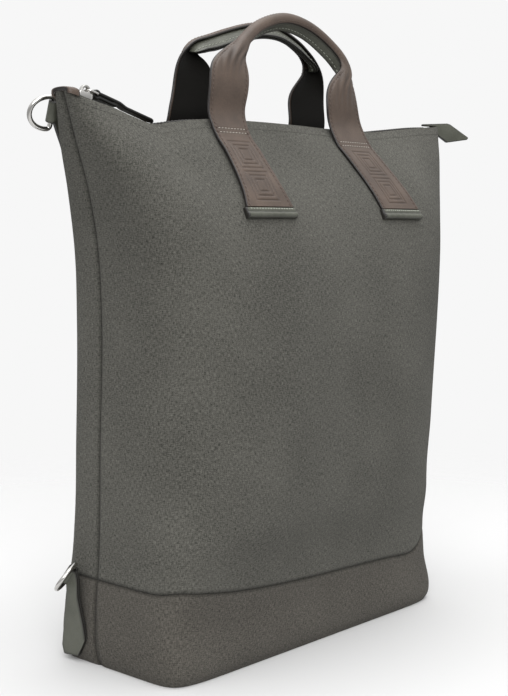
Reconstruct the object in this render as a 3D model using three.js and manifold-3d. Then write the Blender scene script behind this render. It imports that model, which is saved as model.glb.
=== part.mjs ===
// A tall cloth bag that is carried by two leather handles or, by its four D-rings, on the back.
// Millimetres, +Z up. The origin is on the floor under the middle of the bag, and the front
// faces -Y. Cloth and leather are thin closed walls, and neighbours keep a small gap.
import * as THREE from 'three';
import { mergeVertices } from 'three/addons/utils/BufferGeometryUtils.js';
import Module from 'manifold-3d';

const wasm = await Module();
wasm.setup();

// Bag: height at the ends of the zip, width and depth at the waist
const BAG_HEIGHT = 400;
const BAG_WIDTH = 312;
const BAG_DEPTH = 150;
const CLOTH = 2;
const GAP = 0.3;
const BASE_BOARD = 3;
const BAND_HEIGHT = 65;

// Zip along the top
const TAPE_THICKNESS = 1;
const TAPE_DROP = 0.4;
const TEETH_WIDTH = 5;
const TEETH_HEIGHT = 2.2;
const ZIP_SHARE = 0.955;
const ZIP_LINE_Y = -11;
const SLIDER_X = -0.60032 * BAG_WIDTH;
const SLIDER_LENGTH = 13;
const SLIDER_WIDTH = 10;
const SLIDER_HEIGHT = 4.6;
const SLIDER_LIFT = 1.1;
const SLIDER_REACH = 0.03;
const LINK_WIRE = 1.8;
const PULL_LENGTH = 54;
const PULL_WIDTH = 7.5;
const PULL_THICKNESS = 2;
const PULL_HEAD = 19;
const PULL_SLOPE = 0.268;
const LINK_LENGTH = 8;
const LINK_WIDTH = 10;
const LINK_CORNER = 1.6;
const BRIDGE_WIRE = 1.4;
const BRIDGE_WIDTH = 3;
const BRIDGE_SEAT = 1.8;
const END_STRIP_LENGTH = 9;
const END_STRIP_WIDTH = 15;
const END_STRIP_THICKNESS = 1.8;
const END_STRIP_LIFT = 1.2;
const END_STRIP_SETBACK = 5;
const END_STRIP_SHIFT = 2;
const END_TAB_LENGTH = 38;
const END_TAB_THICKNESS = 3.6;
const END_TAB_LIFT = 0.8;
const END_TAB_HEADING = -0.42;
const END_TAB_SETBACK = 3;
const END_TAB_SHIFT = 3;
const TAPE_STEPS = 26;

// Handles: half the distance between the legs, height of the arch over the mouth of the bag,
// how far a leg stands from the line of the zip, width of the strap and size of the folded grip
const HANDLE_HALF_SPAN = 63.5;
const HANDLE_RISE = 84;
const HANDLE_STANDOFF = 19;
const STRAP_WIDTH = 42;
const LEATHER = 2.2;
const LINING = 1;
const GRIP_RADIUS = 2.5;
const GRIP_FOLD = 1.75;
const GRIP_TURN = 0.5;
const GRIP_CORE_WIDTH = 4.4;
const GRIP_CORE_DEPTH = 10.5;
const HANDLE_SHIFT = 4;
const ZIP_MIDDLE_X = 0;
const STATION_DENSITY = 1.7;
const LEG_LIFT_OFF = 14;
const LINING_START = 6;
const LINING_END = 0.33;
const LINING_SHARE = 0.92;
const CORE_START = 0.85;
const STRAP_LIFT = 1;
const FOOT_HEIGHT = 326;
const CAP_HEIGHT = 7.2;
const CAP_THICKNESS = 4.2;
const CAP_OVERHANG = 2;
const CAP_COLUMNS = 6;

// D-rings and the leather tabs that hold them
const RING_WIRE = 3.4;
const RING_WIDTH = 25.6;
const RING_DEPTH = 20;
const RING_PLAY = 0.35;
const TAB_LEATHER = 1.6;
const TAB_FOLD_WIDTH = 15;
const TAB_REACH = 60;
const RING_CORNER = 3;
const RING_SLIDE = 1.2;
const RIGHT_TAB_SETBACK = 2.6;
const TOP_RING_TURN = 0.2;
const LOW_RING_TURN = -1.9;

// Sections of the bag from the floor to the zip. height is a share of BAG_HEIGHT, width of
// BAG_WIDTH, and the depths are shares of BAG_DEPTH: seam is where the side seam lies, front
// and back reach from it. The powers say how square the corners are.
const SECTIONS = {
  columns: ['height', 'width', 'seam', 'front', 'back', 'frontPower', 'backPower'],
  rows: [
    [0.000, 0.976, 0.133, 0.528, 0.301, 12.0, 8.0],
    [0.015, 0.992, 0.139, 0.553, 0.317, 12.0, 8.0],
    [0.100, 0.990, 0.152, 0.547, 0.317, 10.0, 7.0],
    [0.185, 0.978, 0.141, 0.571, 0.307, 7.0, 5.5],
    [0.260, 0.989, 0.117, 0.627, 0.325, 4.5, 4.5],
    [0.400, 0.992, 0.103, 0.665, 0.343, 4.0, 4.0],
    [0.600, 1.003, 0.069, 0.659, 0.345, 4.0, 4.0],
    [0.750, 1.045, 0.041, 0.583, 0.330, 4.5, 4.0],
    [0.850, 1.137, -0.007, 0.447, 0.293, 4.5, 4.0],
    [0.930, 1.251, -0.063, 0.256, 0.230, 4.5, 4.0],
    [1.000, 1.333, -0.095, 0.087, 0.133, 4.5, 4.0],
  ],
};

// How far the mouth sags below its two ends, as a share of BAG_HEIGHT, against the place
// across the bag from -1 to 1
const MOUTH_SAG = {
  columns: ['across', 'sag'],
  rows: [
    [-1.00, 0.000], [-0.91, 0.014], [-0.84, 0.022], [-0.76, 0.034], [-0.67, 0.044],
    [-0.60, 0.039], [-0.52, 0.033], [-0.43, 0.028], [-0.20, 0.025], [0.00, 0.025],
    [0.25, 0.027], [0.45, 0.027], [0.65, 0.017], [0.85, 0.006], [1.00, 0.001],
  ],
};
const SAG_START = 0.55;
const PANEL_ROWS = 14;
const PANEL_COLUMNS = 24;
const ROW_CROWDING = 0.8;
const BAND_ROWS = [0, 0.1, 0.55, 1];

// Height of the band's front seam as a share of BAND_HEIGHT, against the place across. The
// back seam runs evenly from one side to the other.
const BAND_SEAM = {
  columns: ['across', 'height'],
  rows: [
    [-1.00, 0.96], [-0.95, 0.99], [-0.84, 0.96], [-0.55, 0.87], [0.00, 0.77], [0.53, 0.71],
    [0.69, 0.685], [0.77, 0.71], [0.84, 0.78], [0.93, 0.93], [1.00, 1.00],
  ],
};

// The handles from one foot to the other, in front view. across is a share of
// HANDLE_HALF_SPAN, rise of HANDLE_RISE over the mouth, lean of HANDLE_STANDOFF from the zip,
// width of STRAP_WIDTH, and fold says how far the strap is folded into the grip.
const HANDLE_COLUMNS = ['across', 'rise', 'lean', 'width', 'fold'];
const FRONT_HANDLE = {
  columns: HANDLE_COLUMNS,
  rows: [
    [-1.09, 0.06, 1.00, 0.90, 0.00], [-1.06, 0.21, 1.04, 0.94, 0.00],
    [-1.03, 0.35, 1.02, 0.96, 0.02], [-0.98, 0.48, 0.95, 1.00, 0.20],
    [-0.93, 0.56, 0.88, 1.00, 0.45], [-0.87, 0.635, 0.78, 1.00, 0.70],
    [-0.75, 0.72, 0.65, 1.00, 0.93], [-0.37, 0.85, 0.50, 1.00, 1.00],
    [-0.06, 0.94, 0.45, 1.00, 1.00], [0.14, 0.97, 0.44, 1.00, 1.00],
    [0.36, 0.965, 0.44, 1.00, 1.00], [0.67, 0.91, 0.46, 1.00, 1.00],
    [0.96, 0.80, 0.52, 1.00, 1.00], [1.13, 0.69, 0.66, 1.00, 0.95],
    [1.19, 0.60, 0.80, 1.00, 0.76], [1.14, 0.52, 0.92, 1.00, 0.48],
    [1.03, 0.44, 1.00, 1.00, 0.20], [0.98, 0.33, 1.03, 0.92, 0.00],
    [0.98, 0.20, 1.04, 1.00, 0.00], [1.03, 0.06, 1.00, 0.99, 0.00],
  ],
};
const BACK_HANDLE = {
  columns: HANDLE_COLUMNS,
  rows: [
    [-1.02, 0.06, 1.00, 1.05, 0.00], [-0.96, 0.21, 1.05, 1.05, 0.00],
    [-0.93, 0.35, 1.08, 1.05, 0.02], [-0.97, 0.48, 1.14, 1.00, 0.20],
    [-1.02, 0.57, 1.20, 1.00, 0.50], [-0.98, 0.66, 1.22, 1.00, 0.85],
    [-0.69, 0.75, 1.16, 1.00, 1.00], [-0.33, 0.84, 1.11, 1.00, 1.00],
    [-0.02, 0.90, 1.10, 1.00, 1.00], [0.22, 0.92, 1.10, 1.00, 1.00],
    [0.46, 0.91, 1.10, 1.00, 1.00], [0.73, 0.85, 1.11, 1.00, 1.00],
    [0.98, 0.76, 1.12, 1.00, 1.00], [1.12, 0.66, 1.14, 1.00, 0.90],
    [1.14, 0.55, 1.15, 1.00, 0.60], [1.10, 0.45, 1.12, 1.00, 0.25],
    [1.07, 0.33, 1.08, 1.05, 0.02], [1.07, 0.20, 1.05, 1.05, 0.00],
    [1.07, 0.06, 1.00, 1.05, 0.00],
  ],
};

// The legs on the face of the bag from the foot (0) to the mouth (1): places across and
// widths of the left and the right leg
const LEG = {
  columns: ['climb', 'left', 'right', 'leftWidth', 'rightWidth'],
  rows: [
    [0.00, -1.08, 1.32, 1.11, 1.15], [0.25, -1.08, 1.26, 0.98, 1.11],
    [0.50, -1.08, 1.20, 0.90, 1.08], [0.75, -1.08, 1.13, 0.86, 1.05],
    [1.00, -1.10, 1.07, 0.84, 1.04],
  ],
};

// Outline of a ring tab in its own plane, as shares of TAB_REACH: out is away from the bag,
// across the fold, and up is along the bar of the ring
const TOP_TAB = {
  columns: ['out', 'up'],
  rows: [
    [-0.04, -0.13], [-0.12, -0.26], [-0.21, -0.40], [-0.32, -0.59], [-0.46, -0.76],
    [-0.55, -0.55], [-0.63, -0.32], [-0.33, -0.09], [-0.13, 0.05], [-0.04, 0.12],
  ],
};
const LOW_TAB = {
  columns: ['out', 'up'],
  rows: [
    [-0.05, -0.13], [-0.14, -0.24], [-0.27, -0.49], [-0.45, -0.81], [-0.54, -0.88],
    [-0.71, -0.71], [-0.68, -0.45], [-0.48, -0.27], [-0.29, -0.12], [-0.17, 0.03],
    [-0.10, 0.12], [-0.05, 0.13],
  ],
};

const object = new THREE.Group();

const CLOTH_FINISH = { color: 0x4e4e49, roughness: 0.95, metalness: 0 };
const BAND_FINISH = { color: 0x4b4843, roughness: 0.95, metalness: 0 };
const BROWN_FINISH = { color: 0x4d413b, roughness: 0.6, metalness: 0 };
const GREEN_FINISH = { color: 0x3c3f36, roughness: 0.6, metalness: 0 };
const DARK_FINISH = { color: 0x26231f, roughness: 0.6, metalness: 0 };
const LINING_FINISH = { color: 0x141413, roughness: 0.9, metalness: 0 };
const TAPE_FINISH = { color: 0x37322d, roughness: 0.9, metalness: 0 };
const CHROME_FINISH = { color: 0xc9c9c6, roughness: 0.15, metalness: 1 };

function addMesh(name, geometry, finish, parent = object) {
  const mesh = new THREE.Mesh(geometry, new THREE.MeshStandardMaterial(finish));
  mesh.name = name;
  parent.add(mesh);
  return mesh;
}

// A smooth curve through the rows of a table, read at a place on its first column
function tableCurve(table) {
  const places = table.rows.map((row) => row[0]);
  const width = table.columns.length - 1;
  const values = table.rows.flatMap((row) => row.slice(1));
  const curve = new THREE.CubicInterpolant(places, values, width, new Float64Array(width));
  return (place) => {
    const row = curve.evaluate(THREE.MathUtils.clamp(place, places[0], places.at(-1)));
    return Object.fromEntries(table.columns.slice(1).map((name, i) => [name, row[i]]));
  };
}

const sectionAt = tableCurve(SECTIONS);
const sagAt = tableCurve(MOUTH_SAG);
const bandSeamAt = tableCurve(BAND_SEAM);
const legAt = tableCurve(LEG);
const FRONT = -1;
const BACK = 1;

// Height of the mouth's edge at a place across the bag
function mouthHeight(across) {
  return BAG_HEIGHT * (1 - Math.max(sagAt(across).sag, 0));
}

// The place across the bag, from -1 to 1, at a way round one side from seam to seam
function acrossAt(side, share, way) {
  const section = sectionAt(share);
  const power = side === FRONT ? section.frontPower : section.backPower;
  const run = -Math.cos(way * Math.PI);
  return Math.sign(run) * Math.abs(run) ** (2 / power);
}

// A point of the bag's outer face. share is the height, way runs from the left side seam
// (0) to the right one (1) round the front or the back, and inset moves it inward.
function bagPoint(side, share, way, inset = 0) {
  const section = sectionAt(share);
  const power = side === FRONT ? section.frontPower : section.backPower;
  const reach = (side === FRONT ? section.front : section.back) * BAG_DEPTH - inset;
  const across = acrossAt(side, share, way);
  const out = Math.abs(Math.sin(way * Math.PI)) ** (2 / power);
  const halfWidth = section.width * BAG_WIDTH / 2 - inset;
  const sag = THREE.MathUtils.smoothstep(share, SAG_START, 1) * Math.max(sagAt(across).sag, 0);
  return new THREE.Vector3(
    across * halfWidth,
    section.seam * BAG_DEPTH + side * (GAP / 2 + out * reach),
    (share - sag) * BAG_HEIGHT,
  );
}

// The outward normal there, from the two tangents
function bagNormal(side, share, way) {
  const step = 0.004;
  const high = Math.min(share + step, 1);
  const low = Math.max(share - step, 0);
  const right = Math.min(way + step, 1);
  const left = Math.max(way - step, 0);
  const up = bagPoint(side, high, way).sub(bagPoint(side, low, way));
  const along = bagPoint(side, share, right).sub(bagPoint(side, share, left));
  return along.cross(up).multiplyScalar(-side).normalize();
}

// The way round the bag that reaches a given x at a given height share
function wayAt(side, share, x, inset = 0) {
  const section = sectionAt(share);
  const power = side === FRONT ? section.frontPower : section.backPower;
  const halfWidth = section.width * BAG_WIDTH / 2 - inset;
  const across = THREE.MathUtils.clamp(x / halfWidth, -1, 1);
  return Math.acos(-Math.sign(across) * Math.abs(across) ** (power / 2)) / Math.PI;
}

// The height share at which the face reaches a given height z, at a given x
function shareAt(side, z, x) {
  let low = 0;
  let high = 1;
  for (let step = 0; step < 30; step += 1) {
    const middle = (low + high) / 2;
    if (bagPoint(side, middle, wayAt(side, middle, x)).z < z) low = middle;
    else high = middle;
  }
  return (low + high) / 2;
}

// Turns lists of points and faces into a geometry whose faces point outward
function closedBody(points, faces) {
  let volume = 0;
  for (let i = 0; i < faces.length; i += 3) {
    const [a, b, c] = [points[faces[i]], points[faces[i + 1]], points[faces[i + 2]]];
    volume += a.dot(b.clone().cross(c));
  }
  const order = volume < 0 ? [...faces].reverse() : faces;
  const geometry = new THREE.BufferGeometry();
  const position = new Float32Array(points.flatMap((point) => point.toArray()));
  geometry.setAttribute('position', new THREE.BufferAttribute(position, 3));
  geometry.setIndex(order);
  geometry.computeVertexNormals();
  return geometry;
}

// A wall between two grids of points of the same size, closed along its four edges
function wall(outer, inner) {
  const rows = outer.length;
  const columns = outer[0].length;
  const at = (layer, row, column) => (layer * rows + row) * columns + column;
  const faces = [];
  const quad = (a, b, c, d) => faces.push(a, b, c, a, c, d);
  for (let i = 0; i + 1 < rows; i += 1) {
    for (let j = 0; j + 1 < columns; j += 1) {
      quad(at(0, i, j), at(0, i, j + 1), at(0, i + 1, j + 1), at(0, i + 1, j));
      quad(at(1, i, j), at(1, i + 1, j), at(1, i + 1, j + 1), at(1, i, j + 1));
    }
    quad(at(0, i, 0), at(0, i + 1, 0), at(1, i + 1, 0), at(1, i, 0));
    const last = columns - 1;
    quad(at(0, i, last), at(1, i, last), at(1, i + 1, last), at(0, i + 1, last));
  }
  for (let j = 0; j + 1 < columns; j += 1) {
    quad(at(0, 0, j), at(1, 0, j), at(1, 0, j + 1), at(0, 0, j + 1));
    const last = rows - 1;
    quad(at(0, last, j), at(0, last, j + 1), at(1, last, j + 1), at(1, last, j));
  }
  return closedBody([...outer.flat(), ...inner.flat()], faces);
}

const evenly = (count) => Array.from({ length: count + 1 }, (_, i) => i / count);

// A cloth panel of the bag between two height shares, which may change round the bag
function bagPanel(side, lowShare, highShare, rows, columns) {
  const outer = [];
  const inner = [];
  for (const rise of rows) {
    const outerRow = [];
    const innerRow = [];
    for (const way of evenly(columns)) {
      const share = THREE.MathUtils.lerp(lowShare(way), highShare(way), rise);
      const point = bagPoint(side, share, way);
      const inside = point.clone().addScaledVector(bagNormal(side, share, way), -CLOTH);
      if (share === 0) inside.z = 0;
      outerRow.push(point);
      innerRow.push(inside);
    }
    outer.push(outerRow);
    inner.push(innerRow);
  }
  return wall(outer, inner);
}

function addBagPanels() {
  const bandShare = BAND_HEIGHT / BAG_HEIGHT;
  const halfGap = GAP / 2 / BAG_HEIGHT;
  const panelRows = evenly(PANEL_ROWS).map((rise) => rise ** ROW_CROWDING);
  for (const [name, side] of [['front', FRONT], ['back', BACK]]) {
    const seam = (way) => {
      const across = acrossAt(side, bandShare, way);
      if (side === FRONT) return bandSeamAt(across).height * bandShare;
      const ends = [bandSeamAt(-1).height, bandSeamAt(1).height];
      return THREE.MathUtils.lerp(...ends, (across + 1) / 2) * bandShare;
    };
    const panel = bagPanel(side, (way) => seam(way) + halfGap, () => 1, panelRows, PANEL_COLUMNS);
    const band = bagPanel(side, () => 0, (way) => seam(way) - halfGap, BAND_ROWS, PANEL_COLUMNS);
    addMesh(`${name}_panel`, panel, CLOTH_FINISH);
    addMesh(`band_${name}`, band, BAND_FINISH);
  }
}

// The stiff board of the base, inside the band
function addBase() {
  const inset = CLOTH + 2 * GAP;
  const front = evenly(PANEL_COLUMNS).map((way) => bagPoint(FRONT, 0, way, inset));
  const back = evenly(PANEL_COLUMNS).map((way) => bagPoint(BACK, 0, 1 - way, inset));
  const outline = [...front, ...back].map((point) => new THREE.Vector2(point.x, point.y));
  const board = new THREE.ExtrudeGeometry(new THREE.Shape(outline), {
    depth: BASE_BOARD, bevelEnabled: false,
  });
  addMesh('base_panel', board, CLOTH_FINISH);
}

// A ribbon along stations { point, normal, across, width, fold }. fold is the half angle
// through which it curls lengthwise, and near and far are the depths of its two faces.
function ribbon(stations, near, far, columns = 6, widthShare = 1) {
  const layer = (depth) => stations.map((station) => {
    const { point, normal, across, width, fold } = station;
    const curl = Math.max(fold, 0.01);
    const radius = width / 2 / curl;
    return evenly(columns).map((place) => {
      const angle = (place * 2 - 1) * curl * widthShare;
      const facing = normal.clone().multiplyScalar(Math.cos(angle))
        .addScaledVector(across, Math.sin(angle));
      return point.clone().addScaledVector(normal, -radius)
        .addScaledVector(facing, radius + depth);
    });
  });
  return wall(layer(far), layer(near));
}

// The strap of one handle, from its left foot over the grip to its right foot
function handleStations(side, table) {
  const outward = new THREE.Vector3(0, side, 0);
  const up = new THREE.Vector3(0, 0, 1);
  const mouth = mouthHeight(0) - GAP;
  const free = table.rows.map(([across, rise, lean, width, fold]) => ({
    point: new THREE.Vector3(
      across * HANDLE_HALF_SPAN - HANDLE_SHIFT,
      ZIP_LINE_Y + side * HANDLE_STANDOFF * lean,
      mouth + rise * HANDLE_RISE,
    ),
    width,
    fold,
  }));
  free.forEach((station, i) => {
    const before = free[Math.max(i - 1, 0)].point;
    const after = free[Math.min(i + 1, free.length - 1)].point;
    const along = after.clone().sub(before);
    const rising = new THREE.Vector3(-along.z, 0, along.x).normalize();
    station.normal = outward.clone().lerp(rising, GRIP_TURN * station.fold).normalize();
    station.across = along.cross(station.normal).normalize();
  });

  const leg = (column) => evenly(5).map((climb) => {
    const place = legAt(climb);
    const x = place[column] * HANDLE_HALF_SPAN - HANDLE_SHIFT;
    const z = THREE.MathUtils.lerp(FOOT_HEIGHT + GAP, mouth - LEG_LIFT_OFF, climb);
    const share = shareAt(side, z, x);
    const way = wayAt(side, share, x);
    const normal = bagNormal(side, share, way);
    const point = bagPoint(side, share, way).addScaledVector(normal, STRAP_LIFT);
    const across = up.clone().cross(normal).normalize();
    return { point, normal, across, width: place[`${column}Width`], fold: 0 };
  });
  const left = leg('left');
  const right = leg('right').reverse();
  right.forEach((station) => station.across.negate());
  return smoothStations([...left, ...free, ...right]);
}

// Stations on smooth curves through the given ones
function smoothStations(stations) {
  const through = (pick) => new THREE.CatmullRomCurve3(stations.map(pick));
  const points = through((station) => station.point);
  const normals = through((station) => station.normal);
  const crossings = through((station) => station.across);
  const shapes = through((station) => new THREE.Vector3(station.fold, station.width, 0));
  return evenly(Math.round((stations.length - 1) * STATION_DENSITY)).map((place) => {
    const shape = shapes.getPoint(place);
    const share = THREE.MathUtils.clamp(shape.x, 0, 1);
    const across = crossings.getPoint(place).normalize();
    const normal = normals.getPoint(place);
    normal.addScaledVector(across, -normal.dot(across)).normalize();
    const width = THREE.MathUtils.lerp(STRAP_WIDTH * shape.y, 2 * GRIP_RADIUS * GRIP_FOLD, share);
    const fold = share * GRIP_FOLD;
    return { point: points.getPoint(place), normal, across, width, fold, share };
  });
}

function addHandle(name, side, table) {
  const stations = handleStations(side, table);
  addMesh(name, ribbon(stations, 0, LEATHER), BROWN_FINISH);

  const lowest = mouthHeight(0) + LINING_START;
  const lined = stations.filter(({ point, share }) => point.z > lowest && share < LINING_END);
  const middle = ZIP_MIDDLE_X - HANDLE_SHIFT;
  for (const [end, legs] of [
    ['left', lined.filter(({ point }) => point.x < middle)],
    ['right', lined.filter(({ point }) => point.x > middle)],
  ]) {
    const lining = ribbon(legs, -3 * GAP - LINING, -3 * GAP, 6, LINING_SHARE);
    addMesh(`${name}_lining_${end}`, lining, LINING_FINISH);
  }

  const halfCore = GRIP_CORE_WIDTH / 2;
  const drop = GRIP_RADIUS - Math.sqrt(GRIP_RADIUS ** 2 - halfCore ** 2) + 2 * GAP;
  const core = stations.filter(({ share }) => share > CORE_START).map((station) => ({
    point: station.point.clone().addScaledVector(station.normal, -drop),
    normal: station.normal.clone().negate(),
    across: station.across,
    width: GRIP_CORE_WIDTH,
    fold: 0,
  }));
  addMesh(`${name}_grip`, ribbon(core, 0, GRIP_CORE_DEPTH, 2), GREEN_FINISH);
}

// Section of a foot cap from its lower edge (0) to its upper one (1), against its thickness
const CAP_PROFILE = {
  columns: ['rise', 'thickness'],
  rows: [[0, 0.45], [0.12, 0.85], [0.5, 1], [0.88, 0.85], [1, 0.45]],
};

// The folded leather that closes the lower end of a strap, following the face of the bag
function addFootCap(name, side, column) {
  const foot = legAt(0);
  const centre = foot[column] * HANDLE_HALF_SPAN - HANDLE_SHIFT;
  const layer = (depth) => CAP_PROFILE.rows.map(([rise, thickness]) => evenly(CAP_COLUMNS).map((place) => {
    const x = centre + (place - 0.5) * (STRAP_WIDTH * foot[`${column}Width`] + CAP_OVERHANG);
    const z = FOOT_HEIGHT - (1 - rise) * CAP_HEIGHT;
    const share = shareAt(side, z, x);
    const way = wayAt(side, share, x);
    const reach = depth === 0 ? GAP : GAP + CAP_THICKNESS * thickness;
    return bagPoint(side, share, way).addScaledVector(bagNormal(side, share, way), reach);
  }));
  addMesh(name, wall(layer(1), layer(0)), GREEN_FINISH);
}

// The zip: two tapes and a row of teeth that close the mouth
function addZip() {
  const halfMouth = sectionAt(1).width * BAG_WIDTH / 2;
  const reach = ZIP_SHARE * halfMouth;
  const inset = CLOTH + 2 * GAP;
  const strip = (yLow, yHigh, zLow, zHigh, start = -reach) => {
    const layer = (rise) => [yLow, yHigh].map((yAt) => evenly(TAPE_STEPS).map((place) => {
      const x = THREE.MathUtils.lerp(start, reach, place);
      const edge = bagPoint(FRONT, 1, wayAt(FRONT, 1, x, inset), inset);
      return new THREE.Vector3(x, yAt(x), edge.z + rise);
    }));
    return wall(layer(zHigh), layer(zLow));
  };
  const edgeOf = (side) => (x) => bagPoint(side, 1, wayAt(side, 1, x, inset), inset).y;
  const from = (offset) => () => ZIP_LINE_Y + offset;
  const toTeeth = TEETH_WIDTH / 2 + GAP;
  const front = strip(edgeOf(FRONT), from(-toTeeth), -TAPE_DROP - TAPE_THICKNESS, -TAPE_DROP);
  const back = strip(from(toTeeth), edgeOf(BACK), -TAPE_DROP - TAPE_THICKNESS, -TAPE_DROP);
  const low = -TAPE_DROP - TAPE_THICKNESS;
  const teethStart = END_STRIP_SETBACK - halfMouth + END_STRIP_LENGTH + GAP;
  const [left, right] = [from(-TEETH_WIDTH / 2), from(TEETH_WIDTH / 2)];
  const teeth = strip(left, right, low, low + TEETH_HEIGHT, teethStart);
  addMesh('zip_tape_front', front, TAPE_FINISH);
  addMesh('zip_tape_back', back, TAPE_FINISH);
  addMesh('zip_teeth', teeth, DARK_FINISH);
}

// Booleans: a closed geometry as a solid, and a solid as a geometry
function toSolid(geometry) {
  const plain = geometry.clone();
  for (const name of Object.keys(plain.attributes)) {
    if (name !== 'position') plain.deleteAttribute(name);
  }
  const merged = mergeVertices(plain, 1e-3);
  return new wasm.Manifold(new wasm.Mesh({
    numProp: 3,
    vertProperties: new Float32Array(merged.attributes.position.array),
    triVerts: new Uint32Array(merged.index.array),
  }));
}

function toGeometry(solid) {
  const { vertProperties, triVerts } = solid.getMesh();
  const geometry = new THREE.BufferGeometry();
  geometry.setAttribute('position', new THREE.BufferAttribute(vertProperties, 3));
  geometry.setIndex(new THREE.BufferAttribute(triVerts, 1));
  geometry.computeVertexNormals();
  return geometry;
}

function prism(shape, depth, segments = 6) {
  const geometry = new THREE.ExtrudeGeometry(shape, {
    depth, bevelEnabled: false, curveSegments: segments,
  });
  return geometry.translate(0, 0, -depth / 2);
}

// Side view of leather folded round a bar: an eye at the origin and two plies along -X
function eyeShape(hole, leather, runs) {
  const radius = hole + leather;
  const half = runs[0].thickness / 2;
  const start = Math.asin(half / radius);
  const shape = new THREE.Shape();
  shape.absarc(0, 0, radius, Math.PI + start, Math.PI - start + 2 * Math.PI, false);
  const upper = runs.map(({ from, to, thickness }) => [[-from, thickness / 2], [-to, thickness / 2]]);
  const points = upper.flat().slice(1);
  points.forEach(([x, y]) => shape.lineTo(x, y));
  [...points].reverse().forEach(([x, y]) => shape.lineTo(x, -y));
  shape.closePath();
  shape.holes.push(new THREE.Path().absarc(0, 0, hole, 0, 2 * Math.PI, true));
  return shape;
}

// A closed loop of wire along a closed list of points in the XZ plane
function wireLoop(centres, wire, sides = 8) {
  const count = centres.length;
  const points = [];
  centres.forEach((centre, i) => {
    const before = centres[(i + count - 1) % count];
    const after = centres[(i + 1) % count];
    const along = after.clone().sub(before).normalize();
    const out = new THREE.Vector3(along.y, 0, -along.x);
    for (let side = 0; side < sides; side += 1) {
      const angle = (side + 0.5) / sides * 2 * Math.PI;
      points.push(new THREE.Vector3(centre.x, 0, centre.y)
        .addScaledVector(out, Math.cos(angle) * wire / 2)
        .add(new THREE.Vector3(0, Math.sin(angle) * wire / 2, 0)));
    }
  });
  const faces = [];
  for (let i = 0; i < count; i += 1) {
    for (let side = 0; side < sides; side += 1) {
      const next = (i + 1) % count;
      const turn = (side + 1) % sides;
      const [a, b] = [i * sides + side, i * sides + turn];
      const [c, d] = [next * sides + turn, next * sides + side];
      faces.push(a, b, c, a, c, d);
    }
  }
  return closedBody(points, faces);
}

// Centre line of a D: a straight bar on the Z axis and a round bow towards +X
function ringLine(width, depth, corner, count) {
  const half = width / 2;
  const path = new THREE.Path();
  path.moveTo(0, corner - half);
  path.lineTo(0, half - corner);
  path.quadraticCurveTo(0, half, corner, half);
  path.absellipse(corner, 0, depth - corner, half, Math.PI / 2, -Math.PI / 2, true);
  path.quadraticCurveTo(0, -half, 0, corner - half);
  return path.getSpacedPoints(count).slice(0, -1);
}

// A group at the bar of a ring: X points away from the bag and Z along the bar
function barFrame({ centre, bar, out }, mirror) {
  const flip = new THREE.Vector3(mirror, 1, 1);
  const z = bar.clone().multiply(flip).normalize();
  const x = out.clone().multiply(flip);
  x.addScaledVector(z, -x.dot(z)).normalize();
  const y = z.clone().cross(x);
  const group = new THREE.Group();
  group.position.copy(centre).multiply(flip);
  group.quaternion.setFromRotationMatrix(new THREE.Matrix4().makeBasis(x, y, z));
  return group;
}

// A D-ring and the leather tab folded round its bar. turn is how far the ring is swung and
// slide how far it has slipped along the bar.
function addRingAndTab(name, frame, outline, turn, slide, mirror) {
  const group = barFrame(frame, mirror);
  object.add(group);
  const hole = RING_WIRE / 2 + RING_PLAY;
  const eye = eyeShape(hole, TAB_LEATHER, [{ from: 0, to: TAB_REACH, thickness: 2 * TAB_LEATHER }]);
  const bar = toSolid(prism(eye, 2 * TAB_REACH, 6));
  const rows = outline.rows.map(([out, up]) => [out * TAB_REACH, up * TAB_REACH]);
  const half = TAB_FOLD_WIDTH / 2;
  const eyeReach = hole + TAB_LEATHER + 1;
  const corners = [[eyeReach, half], [eyeReach, -half], ...rows];
  const face = new THREE.Shape(corners.map(([x, y]) => new THREE.Vector2(x, y)));
  const stencil = toSolid(prism(face, 4 * eyeReach).rotateX(Math.PI / 2));
  addMesh(`${name}_tab`, toGeometry(bar.intersect(stencil)), GREEN_FINISH, group);

  const line = ringLine(RING_WIDTH - RING_WIRE, RING_DEPTH - RING_WIRE, RING_CORNER, 22);
  const ring = addMesh(`${name}_ring`, wireLoop(line, RING_WIRE, 6), CHROME_FINISH, group);
  ring.rotation.z = -mirror * turn;
  ring.position.z = slide;
}

// Middle of a ring's bar on the left side, as shares of the bag's width, depth and height,
// the direction of the bar and the direction away from the bag
const TOP_BAR = {
  columns: ['place', 'bar', 'out'],
  rows: [[-0.62436, -0.07, -0.99], [0.076667, -0.39, 0], [0.97375, 0.92, -0.08]],
};
const LOW_BAR = {
  columns: ['place', 'bar', 'out'],
  rows: [[-0.515385, 0, -0.1], [0.28, -0.65, 0.76], [0.16125, 0.76, 0.65]],
};

function barOf(table) {
  const [place, bar, out] = table.columns.map((_, column) => (
    new THREE.Vector3(...table.rows.map((row) => row[column]))
  ));
  return { centre: place.multiply(new THREE.Vector3(BAG_WIDTH, BAG_DEPTH, BAG_HEIGHT)), bar, out };
}

function addRings() {
  const top = barOf(TOP_BAR);
  const low = barOf(LOW_BAR);
  for (const [end, mirror] of [['left', 1], ['right', -1]]) {
    if (end === 'right') top.centre.y += RIGHT_TAB_SETBACK;
    addRingAndTab(`top_${end}`, top, TOP_TAB, TOP_RING_TURN, -RING_SLIDE, mirror);
    addRingAndTab(`low_${end}`, low, LOW_TAB, LOW_RING_TURN, RING_SLIDE, mirror);
  }
}

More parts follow.
